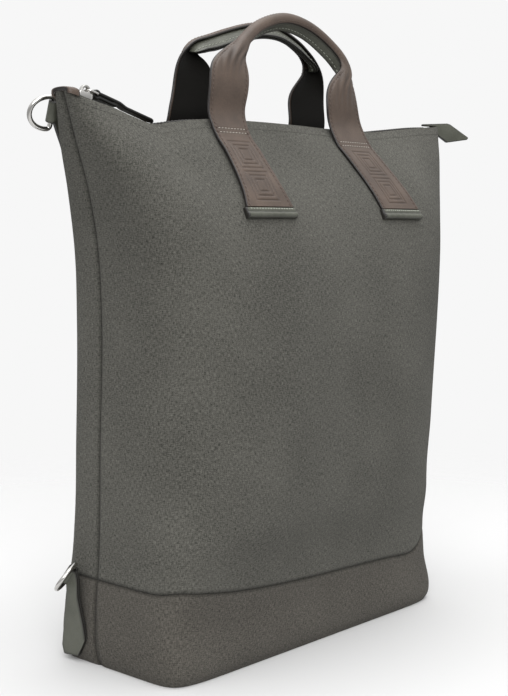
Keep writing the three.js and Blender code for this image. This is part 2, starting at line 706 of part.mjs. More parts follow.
// The metal slider with its bridge, the wire link through it and the leather pull
function addSlider() {
  const place = (SLIDER_X / (sectionAt(1).width * BAG_WIDTH / 2));
  const rise = mouthHeight(place + SLIDER_REACH) - mouthHeight(place - SLIDER_REACH);
  const slope = Math.atan2(rise, SLIDER_REACH * sectionAt(1).width * BAG_WIDTH);
  const group = new THREE.Group();
  const top = mouthHeight(place) - TAPE_DROP - TAPE_THICKNESS + TEETH_HEIGHT + SLIDER_LIFT;
  group.position.set(SLIDER_X, ZIP_LINE_Y, top);
  group.rotation.y = -slope;
  object.add(group);

  const half = SLIDER_LENGTH / 2;
  const plan = new THREE.Shape();
  plan.moveTo(-half, -SLIDER_WIDTH / 3);
  plan.lineTo(0, -SLIDER_WIDTH / 2);
  plan.absarc(half - SLIDER_WIDTH / 2, 0, SLIDER_WIDTH / 2, -Math.PI / 2, Math.PI / 2, false);
  plan.lineTo(-half, SLIDER_WIDTH / 3);
  const plate = prism(plan, SLIDER_HEIGHT).translate(0, 0, SLIDER_HEIGHT / 2);
  const bridgeRadius = LINK_WIRE + 2 * GAP + BRIDGE_WIRE;
  const arch = new THREE.Shape();
  arch.absarc(0, 0, bridgeRadius, 0, Math.PI, false);
  arch.lineTo(-bridgeRadius, -BRIDGE_SEAT - GAP);
  arch.lineTo(bridgeRadius, -BRIDGE_SEAT - GAP);
  const opening = new THREE.Path();
  opening.moveTo(bridgeRadius - BRIDGE_WIRE, -BRIDGE_SEAT);
  opening.absarc(0, 0, bridgeRadius - BRIDGE_WIRE, 0, Math.PI, false);
  opening.lineTo(BRIDGE_WIRE - bridgeRadius, -BRIDGE_SEAT);
  arch.holes.push(opening);
  const bridge = prism(arch, BRIDGE_WIDTH, 5).rotateX(Math.PI / 2)
    .translate(0, 0, SLIDER_HEIGHT + BRIDGE_SEAT);
  const slider = toGeometry(toSolid(plate).add(toSolid(bridge)));
  addMesh('zip_slider', slider, CHROME_FINISH, group);

  const pull = new THREE.Group();
  pull.position.set(0, 0, SLIDER_HEIGHT + BRIDGE_SEAT);
  pull.rotation.y = slope + PULL_SLOPE;
  group.add(pull);
  const side = LINK_WIDTH / 2;
  const straight = side - LINK_CORNER;
  const linkPath = new THREE.Path();
  linkPath.moveTo(0, -straight);
  linkPath.lineTo(0, straight);
  linkPath.quadraticCurveTo(0, side, LINK_CORNER, side);
  linkPath.lineTo(LINK_LENGTH - LINK_CORNER, side);
  linkPath.quadraticCurveTo(LINK_LENGTH, side, LINK_LENGTH, straight);
  linkPath.lineTo(LINK_LENGTH, -straight);
  linkPath.quadraticCurveTo(LINK_LENGTH, -side, LINK_LENGTH - LINK_CORNER, -side);
  linkPath.lineTo(LINK_CORNER, -side);
  linkPath.quadraticCurveTo(0, -side, 0, -straight);
  const linkLine = linkPath.getSpacedPoints(26).slice(0, -1);
  const link = wireLoop(linkLine, LINK_WIRE, 6).rotateX(Math.PI / 2);
  addMesh('zip_link', link, CHROME_FINISH, pull);

  const hole = LINK_WIRE / 2 + GAP;
  const leather = eyeShape(hole, PULL_THICKNESS / 2, [
    { from: 0, to: PULL_HEAD, thickness: 2 * PULL_THICKNESS },
    { from: PULL_HEAD, to: PULL_LENGTH, thickness: PULL_THICKNESS },
  ]);
  const strip = prism(leather, PULL_WIDTH, 4).rotateX(Math.PI / 2).rotateZ(Math.PI)
    .translate(LINK_LENGTH, 0, 0);
  addMesh('zip_pull', strip, DARK_FINISH, pull);
}

// The leather strip over the left end of the zip
function addEndStrip() {
  const halfMouth = sectionAt(1).width * BAG_WIDTH / 2;
  const height = (x) => mouthHeight(x / halfMouth);
  const outer = END_STRIP_SETBACK - halfMouth;
  const inner = outer + END_STRIP_LENGTH;
  const slope = Math.atan2(height(outer) - height(inner), END_STRIP_LENGTH);
  const strip = new THREE.BoxGeometry(END_STRIP_LENGTH, END_STRIP_WIDTH, END_STRIP_THICKNESS);
  const mesh = addMesh('zip_end_strip', strip, BROWN_FINISH);
  mesh.position.set((outer + inner) / 2, ZIP_LINE_Y - END_STRIP_SHIFT, (height(outer) + height(inner)) / 2
    + END_STRIP_THICKNESS / 2 + END_STRIP_LIFT);
  mesh.rotation.y = slope;
}

// The leather tab on the right end of the zip, folded over a ridge and pointing outward.
// out and up are shares of END_TAB_LENGTH from the ridge over the end of the zip.
const END_TAB = {
  columns: ['out', 'up'],
  rows: [
    [-0.24, 0.00], [0.10, -0.01], [0.16, -0.20], [0.42, -0.36], [0.97, -0.28], [1.00, -0.23],
    [0.50, 0.06], [0.42, 0.08], [-0.24, 0.045],
  ],
};

function addEndTab() {
  const halfMouth = sectionAt(1).width * BAG_WIDTH / 2;
  const points = END_TAB.rows.map(([out, up]) => new THREE.Vector2(out, up));
  points.forEach((point) => point.multiplyScalar(END_TAB_LENGTH));
  const tab = prism(new THREE.Shape(points), END_TAB_THICKNESS).rotateX(Math.PI / 2);
  const mesh = addMesh('zip_end_tab', tab, GREEN_FINISH);
  const x = halfMouth - END_TAB_SETBACK;
  mesh.position.set(x, ZIP_LINE_Y - END_TAB_SHIFT, BAG_HEIGHT + END_TAB_LIFT);
  mesh.rotation.z = END_TAB_HEADING;
}

addBagPanels();
addBase();
addZip();
addSlider();
addEndStrip();
addEndTab();
for (const [name, side, table] of [
  ['front', FRONT, FRONT_HANDLE],
  ['back', BACK, BACK_HANDLE],
]) {
  addHandle(`handle_${name}`, side, table);
  addFootCap(`foot_cap_${name}_left`, side, 'left');
  addFootCap(`foot_cap_${name}_right`, side, 'right');
}
addRings();

export default object;
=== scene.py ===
import bpy
import bmesh
import numpy as np
from math import atan2, cos, pi, radians, sin, sqrt
from mathutils import Matrix, Vector


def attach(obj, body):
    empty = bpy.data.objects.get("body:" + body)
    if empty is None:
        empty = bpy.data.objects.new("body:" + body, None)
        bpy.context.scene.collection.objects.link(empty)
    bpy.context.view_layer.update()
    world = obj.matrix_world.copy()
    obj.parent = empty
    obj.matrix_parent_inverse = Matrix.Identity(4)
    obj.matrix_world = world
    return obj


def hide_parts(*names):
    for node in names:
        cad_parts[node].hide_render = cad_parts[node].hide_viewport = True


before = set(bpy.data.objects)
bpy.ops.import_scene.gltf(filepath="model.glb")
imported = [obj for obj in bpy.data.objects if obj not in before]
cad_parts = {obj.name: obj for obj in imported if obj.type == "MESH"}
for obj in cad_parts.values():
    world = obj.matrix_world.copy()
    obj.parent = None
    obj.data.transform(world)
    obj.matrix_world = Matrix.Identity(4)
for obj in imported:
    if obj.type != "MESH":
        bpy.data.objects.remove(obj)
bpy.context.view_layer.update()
MM = 0.001
scene = bpy.context.scene
scene.view_settings.view_transform = "Standard"

# The camera stands at the left front corner, a metre away and just under the rim of the bag,
# and looks down a little. The lens makes the bag fill an upright frame.
camera = bpy.data.objects.new("camera", bpy.data.cameras.new("camera"))
scene.collection.objects.link(camera)
camera.location = (-0.7432, -0.6675, 0.314)
camera.rotation_euler = (radians(84.6), 0, radians(-47.7))
camera.data.sensor_fit = "VERTICAL"
camera.data.sensor_height = 36
camera.data.lens = 66.67
scene.camera = camera

# A studio: a pale floor that fades into the backdrop, surroundings that are brighter above,
# one wide soft light at the left in front, a second above, and a weak one from the right.
BACKDROP = (0.93, 0.93, 0.93, 1)
SKY_GREYS = ((0.0, 0.50), (0.22, 0.62), (0.75, 1.25))
FLOOR_REACH, FLOOR_FADE = 14, (0.30, 0.85)
world = bpy.data.worlds.new("studio")
scene.world = world
world.use_nodes = True
surroundings = world.node_tree.nodes["Background"]
surroundings.inputs["Strength"].default_value = 1.0

for name, place, width, height, power in [
    ("key_light", (-1.75, -1.65, 1.5), 1.7, 1.5, 43),
    ("top_light", (0.0, -0.2, 2.2), 1.8, 1.8, 26),
    ("far_light", (2.0, -0.9, 1.0), 1.2, 1.4, 1),
]:
    light = bpy.data.lights.new(name, "AREA")
    light.shape = "RECTANGLE"
    light.size = width
    light.size_y = height
    light.energy = power
    lamp = bpy.data.objects.new(name, light)
    scene.collection.objects.link(lamp)
    lamp.location = place
    aim = Vector((0, 0, 0.22)) - Vector(place)
    lamp.rotation_euler = aim.to_track_quat("-Z", "Y").to_euler()


def new_finish(name, **sockets):
    """A material with a Principled BSDF whose plain sockets have these values."""
    material = bpy.data.materials.new(name)
    material.use_nodes = True
    surface = material.node_tree.nodes["Principled BSDF"]
    for socket, value in sockets.items():
        surface.inputs[socket.replace("_", " ")].default_value = value
    return material, surface


def feed(tree, socket, source):
    """Link an output to a socket, or put a plain value on it."""
    if isinstance(source, bpy.types.NodeSocket):
        tree.links.new(source, socket)
    else:
        socket.default_value = source


def add_node(tree, kind, links=(), **values):
    """A node of a tree. links are (input, output or value) pairs; values are its settings."""
    node = tree.nodes.new(kind)
    for key, value in values.items():
        setattr(node, key, value)
    for socket, source in links:
        feed(tree, node.inputs[socket], source)
    return node


def noise(tree, place, scale, detail=2.0):
    return add_node(
        tree, "ShaderNodeTexNoise", [("Vector", place), ("Scale", scale), ("Detail", detail)]
    ).outputs["Fac"]


def object_place(tree):
    return add_node(tree, "ShaderNodeTexCoord").outputs["Object"]


def add_relief(tree, surface, height, strength, distance):
    bump = add_node(
        tree, "ShaderNodeBump",
        [("Height", height), ("Strength", strength), ("Distance", distance)],
    )
    tree.links.new(bump.outputs["Normal"], surface.inputs["Normal"])


sky_tree = world.node_tree
sky_place = add_node(sky_tree, "ShaderNodeTexCoord")
sky_axes = add_node(sky_tree, "ShaderNodeSeparateXYZ", [(0, sky_place.outputs["Generated"])])
sky_ramp = add_node(sky_tree, "ShaderNodeValToRGB", [("Fac", sky_axes.outputs["Z"])])
sky_ramp.color_ramp.elements.new(0.22)
for stop, (height, grey) in zip(sky_ramp.color_ramp.elements, SKY_GREYS):
    stop.position = height
    stop.color = (grey, grey, grey, 1)
sky_seen = add_node(sky_tree, "ShaderNodeLightPath")
sky_mix = add_node(
    sky_tree, "ShaderNodeMixRGB",
    [("Fac", sky_seen.outputs["Is Camera Ray"]), ("Color1", sky_ramp.outputs["Color"]),
     ("Color2", BACKDROP)],
)
sky_tree.links.new(sky_mix.outputs["Color"], surroundings.inputs["Color"])

floor_finish, floor_surface = new_finish(
    "studio_floor", Base_Color=(0.61, 0.61, 0.61, 1), Roughness=0.75, Specular_IOR_Level=0.2
)
floor_tree = floor_finish.node_tree
floor_place = object_place(floor_tree)
add_relief(floor_tree, floor_surface, noise(floor_tree, floor_place, 40.0), 0.03, 0.001)
floor_reach = add_node(floor_tree, "ShaderNodeVectorMath", [(0, floor_place)], operation="LENGTH")
floor_fade = add_node(
    floor_tree, "ShaderNodeMapRange",
    [("Value", floor_reach.outputs["Value"]), ("From Min", FLOOR_FADE[0]),
     ("From Max", FLOOR_FADE[1]), ("To Min", 1.0), ("To Max", 0.0)],
    interpolation_type="SMOOTHSTEP",
)
floor_tree.links.new(floor_fade.outputs["Result"], floor_surface.inputs["Alpha"])
floor_mesh = bpy.data.meshes.new("studio_floor")
floor_corners = [(x * FLOOR_REACH, y * FLOOR_REACH, 0)
                 for x, y in ((-1, -1), (1, -1), (1, 1), (-1, 1))]
floor_mesh.from_pydata(floor_corners, [], [(0, 1, 2, 3)])
floor_mesh.materials.append(floor_finish)
floor = bpy.data.objects.new("studio_floor", floor_mesh)
scene.collection.objects.link(floor)

# The cloth of the bag: a front and a back panel of grey-olive melange canvas that meet in
# pressed side seams, and spread at the top into two ears that the zip joins.
BAG_HEIGHT, BAG_WIDTH, BAG_DEPTH = 400.0, 312.0, 150.0
CLOTH, GAP = 2.0, 0.3
BAND_SHARE = 65.0 / BAG_HEIGHT
FRONT, BACK = -1, 1
SIDES = {"front": FRONT, "back": BACK}
FACE = {FRONT: "front", BACK: "back"}
SECTION_NAMES = ["width", "seam", "front", "back", "front_power", "back_power"]
SECTIONS = np.array([
    [0.000, 0.976, 0.133, 0.528, 0.301, 12.0, 8.0],
    [0.015, 0.992, 0.139, 0.553, 0.317, 12.0, 8.0],
    [0.100, 0.990, 0.152, 0.547, 0.317, 10.0, 7.0],
    [0.185, 0.978, 0.141, 0.571, 0.307, 7.0, 5.5],
    [0.260, 0.989, 0.117, 0.627, 0.325, 4.5, 4.5],
    [0.400, 0.992, 0.103, 0.665, 0.343, 4.0, 4.0],
    [0.600, 1.003, 0.069, 0.659, 0.345, 4.0, 4.0],
    [0.750, 1.045, 0.041, 0.583, 0.330, 4.5, 4.0],
    [0.850, 1.137, -0.007, 0.447, 0.293, 4.5, 4.0],
    [0.930, 1.251, -0.063, 0.256, 0.230, 4.5, 4.0],
    [1.000, 1.333, -0.095, 0.087, 0.133, 4.5, 4.0],
])
MOUTH_SAG = np.array([
    [-1.00, 0.000], [-0.91, 0.014], [-0.84, 0.022], [-0.76, 0.034], [-0.67, 0.044],
    [-0.60, 0.039], [-0.52, 0.033], [-0.43, 0.028], [-0.20, 0.025], [0.00, 0.025],
    [0.25, 0.027], [0.45, 0.027], [0.65, 0.017], [0.85, 0.006], [1.00, 0.001],
])
SAG_START = 0.55
BAND_SEAM = np.array([
    [-1.00, 0.96], [-0.95, 0.99], [-0.84, 0.96], [-0.55, 0.87], [0.00, 0.77], [0.53, 0.71],
    [0.69, 0.685], [0.77, 0.71], [0.84, 0.78], [0.93, 0.93], [1.00, 1.00],
])


def table_curve(table):
    """A smooth curve through the rows of a table, read at places on its first column."""
    places, values = table[:, 0], table[:, 1:]
    last = len(places) - 1

    def read(place):
        place = np.clip(np.asarray(place, float), places[0], places[-1])
        high = np.clip(np.searchsorted(places, place, side="right"), 1, last)
        low = high - 1
        start, end = places[low], places[high]
        before = np.where(low > 0, low - 1, high)
        after = np.where(high < last, high + 1, low)
        half = (end - start) / 2
        pull_before = (half / (start - places[before]))[..., None]
        pull_after = (half / (places[after] - end))[..., None]
        t = ((place - start) / (end - start))[..., None]
        t2, t3 = t * t, t * t * t
        return (
            (-t3 + 2 * t2 - t) * pull_before * values[before]
            + ((1 + pull_before) * t3 - (1.5 + 2 * pull_before) * t2 + (pull_before - 0.5) * t + 1)
            * values[low]
            + ((-1 - pull_after) * t3 + (1.5 + pull_after) * t2 + 0.5 * t) * values[high]
            + (t3 - t2) * pull_after * values[after]
        )

    return read


read_section = table_curve(SECTIONS)
read_sag = table_curve(MOUTH_SAG)
read_band_seam = table_curve(BAND_SEAM)


def section_at(share):
    return dict(zip(SECTION_NAMES, np.moveaxis(read_section(share), -1, 0)))


def sag_at(across):
    return np.maximum(read_sag(across)[..., 0], 0)


def mouth_height(across):
    return BAG_HEIGHT * (1 - sag_at(across))


def across_at(side, share, way):
    """How far to the right the cloth is, from -1 to 1, at a way round from 0 to 1."""
    section = section_at(share)
    power = section[FACE[side] + "_power"]
    run = -np.cos(way * pi)
    return np.sign(run) * np.abs(run) ** (2 / power)


def unit(vectors):
    return vectors / np.linalg.norm(vectors, axis=-1, keepdims=True)


def bag_point(side, share, way, inset=0.0):
    """A point of the cloth's outer face, by height share and way round from the left seam."""
    section = section_at(share)
    power = section[FACE[side] + "_power"]
    depth = section[FACE[side]] * BAG_DEPTH - inset
    across = across_at(side, share, way)
    out = np.abs(np.sin(way * pi)) ** (2 / power)
    half_width = section["width"] * BAG_WIDTH / 2 - inset
    rise = np.clip((share - SAG_START) / (1 - SAG_START), 0, 1)
    sag = rise * rise * (3 - 2 * rise) * sag_at(across)
    y = section["seam"] * BAG_DEPTH + side * (GAP / 2 + out * depth)
    x, y, z = np.broadcast_arrays(across * half_width, y, (share - sag) * BAG_HEIGHT)
    return np.stack([x, y, z], -1)


def bag_normal(side, share, way, step=0.004):
    """The direction that faces away from the bag at a point of the cloth."""
    up = bag_point(side, np.minimum(share + step, 1), way) - bag_point(
        side, np.maximum(share - step, 0), way
    )
    along = bag_point(side, share, np.minimum(way + step, 1)) - bag_point(
        side, share, np.maximum(way - step, 0)
    )
    return unit(-side * np.cross(along, up))


def way_at(side, share, x, inset=0.0):
    """The way round the bag at which the cloth is x mm from the middle."""
    section = section_at(share)
    power = section[FACE[side] + "_power"]
    across = np.clip(x / (section["width"] * BAG_WIDTH / 2 - inset), -1, 1)
    return np.arccos(-np.sign(across) * np.abs(across) ** (power / 2)) / pi


def share_at(side, z, x):
    """The height share at which the cloth is z mm over the floor, x mm from the middle."""
    low, high = np.zeros(np.shape(x)), np.ones(np.shape(x))
    for _ in range(30):
        middle = (low + high) / 2
        below = bag_point(side, middle, way_at(side, middle, x))[..., 2] < z
        low, high = np.where(below, middle, low), np.where(below, high, middle)
    return (low + high) / 2


def set_piece(name, mesh, finish, replaced=(), sharp=None, body="bag"):
    """Put a mesh in the scene as a piece that rides on a body and stands for CAD nodes."""
    mesh.shade_smooth()
    if sharp:
        mesh.set_sharp_from_angle(angle=radians(sharp))
    mesh.materials.append(finish)
    piece = bpy.data.objects.new(name, mesh)
    scene.collection.objects.link(piece)
    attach(piece, body)
    if replaced:
        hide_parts(*replaced)
    return piece


def there_and_back(face, back):
    """Rings that run along an outer face and come back along the inner one."""
    return np.concatenate([face, back[:, ::-1]], axis=1)


def both_faces(part):
    """The same values on the outer and the inner face of rings."""
    return there_and_back(part, part)


def run_along(points):
    """The length from the first row of points to each one."""
    steps = np.linalg.norm(np.diff(points, axis=0), axis=-1)
    return np.concatenate([np.zeros_like(steps[:1]), np.cumsum(steps, axis=0)])


def skin(name, rings, finish, slot, replaced, uv, sharp=40, **masks):
    """A closed piece whose rings, rows of points in mm, run round it. The points of a ring
    pair up from its two ends, so that a ladder of faces closes the first and last ring.
    uv is (across, along) in mm for each point, and masks are values from 0 to 1 there."""
    rows, count = rings.shape[:2]
    index = np.arange(rows * count).reshape(rows, count)
    turned = np.roll(index, -1, axis=1)
    quads = [np.stack([index[:-1], turned[:-1], turned[1:], index[1:]], -1).reshape(-1, 4)]
    half = count // 2
    for row, order in ((0, slice(None, None, -1)), (-1, slice(None))):
        one, other = index[row, :half], index[row, ::-1][:half]
        ladder = np.stack([one[:-1], one[1:], other[1:], other[:-1]], -1)
        quads.append(ladder[:, order])
    faces = np.concatenate(quads)
    points = rings.reshape(-1, 3) * MM
    a, b, c = points[faces[:, 0]], points[faces[:, 1]], points[faces[:, 2]]
    d = points[faces[:, 3]]
    volume = np.einsum("ij,ij->", a, np.cross(b, c)) + np.einsum("ij,ij->", a, np.cross(c, d))
    if volume < 0:
        faces = faces[:, ::-1]
    mesh = bpy.data.meshes.new(name)
    mesh.from_pydata(points.tolist(), [], faces.tolist())
    layer = mesh.uv_layers.new(name="thread")
    corners = np.zeros(len(mesh.loops), np.int32)
    mesh.loops.foreach_get("vertex_index", corners)
    flat = np.stack([part.reshape(-1) for part in uv], -1)[corners] * MM
    layer.data.foreach_set("uv", flat.astype(np.float32).ravel())
    for mask, values in masks.items():
        attribute = mesh.attributes.new(mask, "FLOAT", "POINT")
        attribute.data.foreach_set("value", np.asarray(values, np.float32).ravel())
    set_piece(name, mesh, finish, replaced, sharp)


def new_group(name, inputs, outputs):
    """An empty shader node group with named inputs (name: value) and outputs (name: kind)."""
    group = bpy.data.node_groups.new(name, "ShaderNodeTree")
    for label, value in inputs.items():
        kind = "NodeSocketFloat"
        if isinstance(value, tuple):
            kind = "NodeSocketColor" if len(value) == 4 else "NodeSocketVector"
        socket = group.interface.new_socket(label, in_out="INPUT", socket_type=kind)
        socket.default_value = value
    for label, kind in outputs.items():
        group.interface.new_socket(label, in_out="OUTPUT", socket_type=kind)
    return group, group.nodes.new("NodeGroupInput"), group.nodes.new("NodeGroupOutput")


def math_node(tree, operation, *sources):
    return add_node(tree, "ShaderNodeMath", enumerate(sources), operation=operation).outputs[0]


def mix_colour(tree, share, one, other):
    node = add_node(tree, "ShaderNodeMix", [(0, share), (6, one), (7, other)], data_type="RGBA")
    return node.outputs[2]


# Plain weave of mixed dark and light yarns: slubs along both thread directions, a slow
# change of shade, and the over and under of the threads as height
weave, weave_in, weave_out = new_group(
    "plain_weave",
    {"Thread": (0.0, 0.0, 0.0), "Pitch": 0.0007, "Dark": (0.05, 0.05, 0.05, 1),
     "Light": (0.2, 0.2, 0.2, 1), "Mottle": 0.5},
    {"Color": "NodeSocketColor", "Height": "NodeSocketFloat", "Roughness": "NodeSocketFloat"},
)
slubs = []
for stretch in ((420.0, 1500.0, 1.0), (1700.0, 340.0, 1.0)):
    stretched = add_node(
        weave, "ShaderNodeMapping", [("Vector", weave_in.outputs["Thread"]), ("Scale", stretch)]
    )
    slubs.append(noise(weave, stretched.outputs["Vector"], 1.0, 3.0))
slow = noise(weave, weave_in.outputs["Thread"], 16.0)
yarn_mix = math_node(weave, "ADD", slubs[0], slubs[1])
contrast = math_node(weave, "SUBTRACT", yarn_mix, 1.0)
contrast = math_node(weave, "MULTIPLY", contrast, weave_in.outputs["Mottle"])
shade = math_node(weave, "MULTIPLY", math_node(weave, "SUBTRACT", slow, 0.5), 0.35)
shade = math_node(weave, "ADD", math_node(weave, "ADD", contrast, shade), 0.5)
weave.links.new(
    mix_colour(weave, shade, weave_in.outputs["Dark"], weave_in.outputs["Light"]),
    weave_out.inputs["Color"],
)
axes = add_node(weave, "ShaderNodeSeparateXYZ", [(0, weave_in.outputs["Thread"])])
counts = [
    math_node(weave, "DIVIDE", axes.outputs[axis], weave_in.outputs["Pitch"]) for axis in (0, 1)
]
rounds = [
    math_node(weave, "ABSOLUTE", math_node(weave, "SINE", math_node(weave, "MULTIPLY", n, pi)))
    for n in counts
]
cell = math_node(
    weave, "ADD", math_node(weave, "FLOOR", counts[0]), math_node(weave, "FLOOR", counts[1])
)
over = math_node(weave, "PINGPONG", cell, 1.0)
under = math_node(weave, "SUBTRACT", 1.0, over)
height = math_node(
    weave, "ADD",
    math_node(weave, "MULTIPLY", over, rounds[0]), math_node(weave, "MULTIPLY", under, rounds[1]),
)
weave.links.new(
    math_node(weave, "ADD", height, math_node(weave, "MULTIPLY", yarn_mix, 0.6)),
    weave_out.inputs["Height"],
)
weave.links.new(
    math_node(weave, "ADD", 0.78, math_node(weave, "MULTIPLY", yarn_mix, 0.14)),
    weave_out.inputs["Roughness"],
)


def cloth_finish(name, dark, light, pitch, mottle, bump, seam_shade=0.55):
    """Woven cloth. Where the mask seam rises, the colour darkens towards near black: painted shade
    in the seam crease.
    """
    material, surface = new_finish(name, Specular_IOR_Level=0.08, Sheen_Weight=0.04,
                                   Sheen_Roughness=0.5)
    tree = material.node_tree
    thread = add_node(tree, "ShaderNodeUVMap", uv_map="thread")
    cloth = add_node(
        tree, "ShaderNodeGroup",
        [("Thread", thread.outputs["UV"]), ("Pitch", pitch), ("Dark", dark), ("Light", light),
         ("Mottle", mottle)],
        node_tree=weave,
    )
    seam = add_node(tree, "ShaderNodeAttribute", attribute_name="seam").outputs["Fac"]
    # Painted shade: along the seam crease the colour is mixed towards near black.
    press = math_node(tree, "MULTIPLY", seam, seam_shade)
    colour = mix_colour(tree, press, cloth.outputs["Color"], (0.006, 0.006, 0.005, 1))
    tree.links.new(colour, surface.inputs["Base Color"])
    tree.links.new(cloth.outputs["Roughness"], surface.inputs["Roughness"])
    add_relief(tree, surface, cloth.outputs["Height"], bump, 0.0003)
    return material


canvas = cloth_finish(
    "canvas", (0.022, 0.022, 0.019, 1), (0.154, 0.150, 0.132, 1), 0.00075, 1.4, 0.6, 0.5
)
band_cloth = cloth_finish(
    "band_cloth", (0.024, 0.022, 0.019, 1), (0.130, 0.121, 0.105, 1), 0.00075, 1.4, 0.6, 0.5
)

# Soft folds of the cloth: where each runs over the face, in mm from the middle and the floor,
# how it leans, how long and broad it is, and how far it lifts
FOLDS = {
    FRONT: [
        (-128, 345, 0.35, 60, 16, 1.2), (-92, 352, 0.55, 40, 12, -1.0),
        (120, 350, -0.4, 55, 15, 0.9), (-60, 210, 0.08, 120, 34, 0.8),
        (70, 200, -0.06, 130, 30, 0.9), (10, 160, 0.0, 100, 26, -0.9),
        (-120, 120, 0.1, 70, 16, 0.6), (128, 130, -0.1, 80, 15, 0.7),
    ],
    BACK: [
        (-70, 250, 0.1, 110, 30, 1.0), (60, 210, -0.1, 120, 30, -0.9),
        (125, 340, -0.4, 55, 15, 1.0), (-125, 340, 0.4, 55, 15, -0.8),
    ],
}
SEAM_DIP, SEAM_BREADTH, CALM_REACH, RIPPLE = 1.4, 1.5, 25, 0.22
PANEL_ROWS, BAND_ROWS, CLOTH_COLUMNS, CROWD = 170, 46, 190, 0.35


def fold_lift(side, points):
    """How far the cloth lifts off its plain form at these points, in mm."""
    x, z = points[..., 0], points[..., 2]
    lift = np.zeros(x.shape)
    for middle, height, lean, length, breadth, size in FOLDS[side]:
        run = z - height
        off = x - middle - lean * run
        lift += size * np.exp(-((off / breadth) ** 2) - (run / length) ** 2)
    ripple = np.sin(x / 19.0 + z / 61.0) * np.sin(z / 47.0 - x / 83.0)
    return lift + RIPPLE * ripple


def even_ways(side, share, count, crowd=CROWD):
    """Ways round the bag with even steps along the cloth, closer at the two seams."""
    way = (1 - np.cos(np.linspace(0, pi, 4001))) / 2
    way = 0.5 + np.sign(way - 0.5) * np.abs(2 * way - 1) ** 2.6 / 2
    length = run_along(bag_point(side, share, way)[:, :2])
    step = np.linspace(0, 1, count)
    step = (1 - crowd) * step + crowd * (1 - np.cos(step * pi)) / 2
    return np.interp(step * length[-1], length, way)


def panel_rings(side, low, high, rows, columns, dips):
    """Rings of a cloth wall between two height shares, with pressed seams where dips says. The
    seam mask it returns also darkens the cloth's colour there as painted shade.
    """
    outer, normal = [], []
    step = (1 - np.cos(np.linspace(0, pi, rows))) / 2
    rises = (1 - CROWD) * np.linspace(0, 1, rows) + CROWD * step
    for rise in rises:
        middle_share = low(0.5) + (high(0.5) - low(0.5)) * rise
        way = even_ways(side, middle_share, columns)
        share = low(way) + (high(way) - low(way)) * rise
        outer.append(bag_point(side, share, way))
        normal.append(bag_normal(side, share, way))
    outer, normal = np.array(outer), np.array(normal)
    across, along = run_along(outer.swapaxes(0, 1)).T, run_along(outer)
    gaps = {"left": across, "right": across[:, -1:] - across, "low": along,
            "high": along[-1:] - along}
    seam = sum(np.exp(-((gaps[edge] / SEAM_BREADTH) ** 2)) for edge in dips)
    seam = np.minimum(seam, 1)
    calm = np.clip(np.minimum.reduce(list(gaps.values())) / CALM_REACH, 0, 1)
    calm = calm * calm * (3 - 2 * calm)
    lift = calm * fold_lift(side, outer) - SEAM_DIP * seam
    face = outer + normal * lift[..., None]
    back = outer + normal * (lift[..., None] - CLOTH)
    if low(0.5) == 0:
        face[0, :, 2] = back[0, :, 2] = 0
    uv = [both_faces(across), both_faces(along)]
    return there_and_back(face, back), uv, both_faces(seam)


def band_top(side):
    """The height share of the band's seam, as a function of the way round."""
    def read(way):
        across = across_at(side, BAND_SHARE, np.asarray(way, float))
        if side == FRONT:
            return read_band_seam(across)[..., 0] * BAND_SHARE
        ends = read_band_seam([-1, 1])[..., 0]
        return (ends[0] + (ends[1] - ends[0]) * (across + 1) / 2) * BAND_SHARE
    return read


half_gap = GAP / 2 / BAG_HEIGHT
for name, side in SIDES.items():
    top_of_band = band_top(side)
    rings, uv, seam = panel_rings(
        side, lambda way: top_of_band(way) + half_gap, lambda way: 1.0 + 0 * np.asarray(way),
        PANEL_ROWS, CLOTH_COLUMNS, ("left", "right", "low"),
    )
    skin(f"{name}_panel_cloth", rings, canvas, "canvas", [f"{name}_panel"], uv, seam=seam)

# The band round the foot of the bag, of a slightly browner canvas, sewn to the panels in a
# seam that runs lower towards the right at the front
for name, side in SIDES.items():
    top_of_band = band_top(side)
    rings, uv, seam = panel_rings(
        side, lambda way: 0.0 * np.asarray(way), lambda way: top_of_band(way) - half_gap,
        BAND_ROWS, CLOTH_COLUMNS, ("left", "right", "high"),
    )
    skin(f"band_{name}_cloth", rings, band_cloth, "band_cloth", [f"band_{name}"], uv, seam=seam)

# The base: a stiff board that is covered with the band's canvas and lies flat between the
# lower edges of the band, which is sewn to it all round
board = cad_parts["base_panel"]
board_cloth, board_surface = new_finish(
    "board_cloth", Base_Color=(0.05, 0.047, 0.042, 1), Roughness=0.9
)
board_tree = board_cloth.node_tree
board_weave = add_node(
    board_tree, "ShaderNodeGroup",
    [("Thread", object_place(board_tree)), ("Dark", (0.030, 0.028, 0.025, 1)),
     ("Light", (0.085, 0.080, 0.071, 1))],
    node_tree=weave,
)
board_tree.links.new(board_weave.outputs["Color"], board_surface.inputs["Base Color"])
board.data.materials.clear()
board.data.materials.append(board_cloth)

# Leather, as a group that all its colours share: a fine pebbled grain, a slow change of
# tone, paint along cut edges and a darker tone in pressed lines, which on the straps also
# holds painted shade in the pleat valleys
leather, leather_in, leather_out = new_group(
    "leather_grain",
    {"Place": (0.0, 0.0, 0.0), "Dark": (0.05, 0.04, 0.03, 1), "Light": (0.15, 0.1, 0.08, 1),
     "Paint": (0.01, 0.009, 0.008, 1), "Edge": 0.0, "Pressed": 0.0},
    {"Color": "NodeSocketColor", "Height": "NodeSocketFloat", "Roughness": "NodeSocketFloat"},
)
pebbles = add_node(
    leather, "ShaderNodeTexVoronoi",
    [("Vector", leather_in.outputs["Place"]), ("Scale", 1100.0)],
    feature="DISTANCE_TO_EDGE",
)
tone = noise(leather, leather_in.outputs["Place"], 55.0, 4.0)
fine = noise(leather, leather_in.outputs["Place"], 900.0, 3.0)
broad_tone, fine_tone = (
    math_node(leather, "MULTIPLY", source, weight) for source, weight in ((tone, 0.9), (fine, 0.5))
)
blend_tone = math_node(leather, "ADD", broad_tone, fine_tone)
blend_tone = math_node(leather, "SUBTRACT", blend_tone, 0.2)
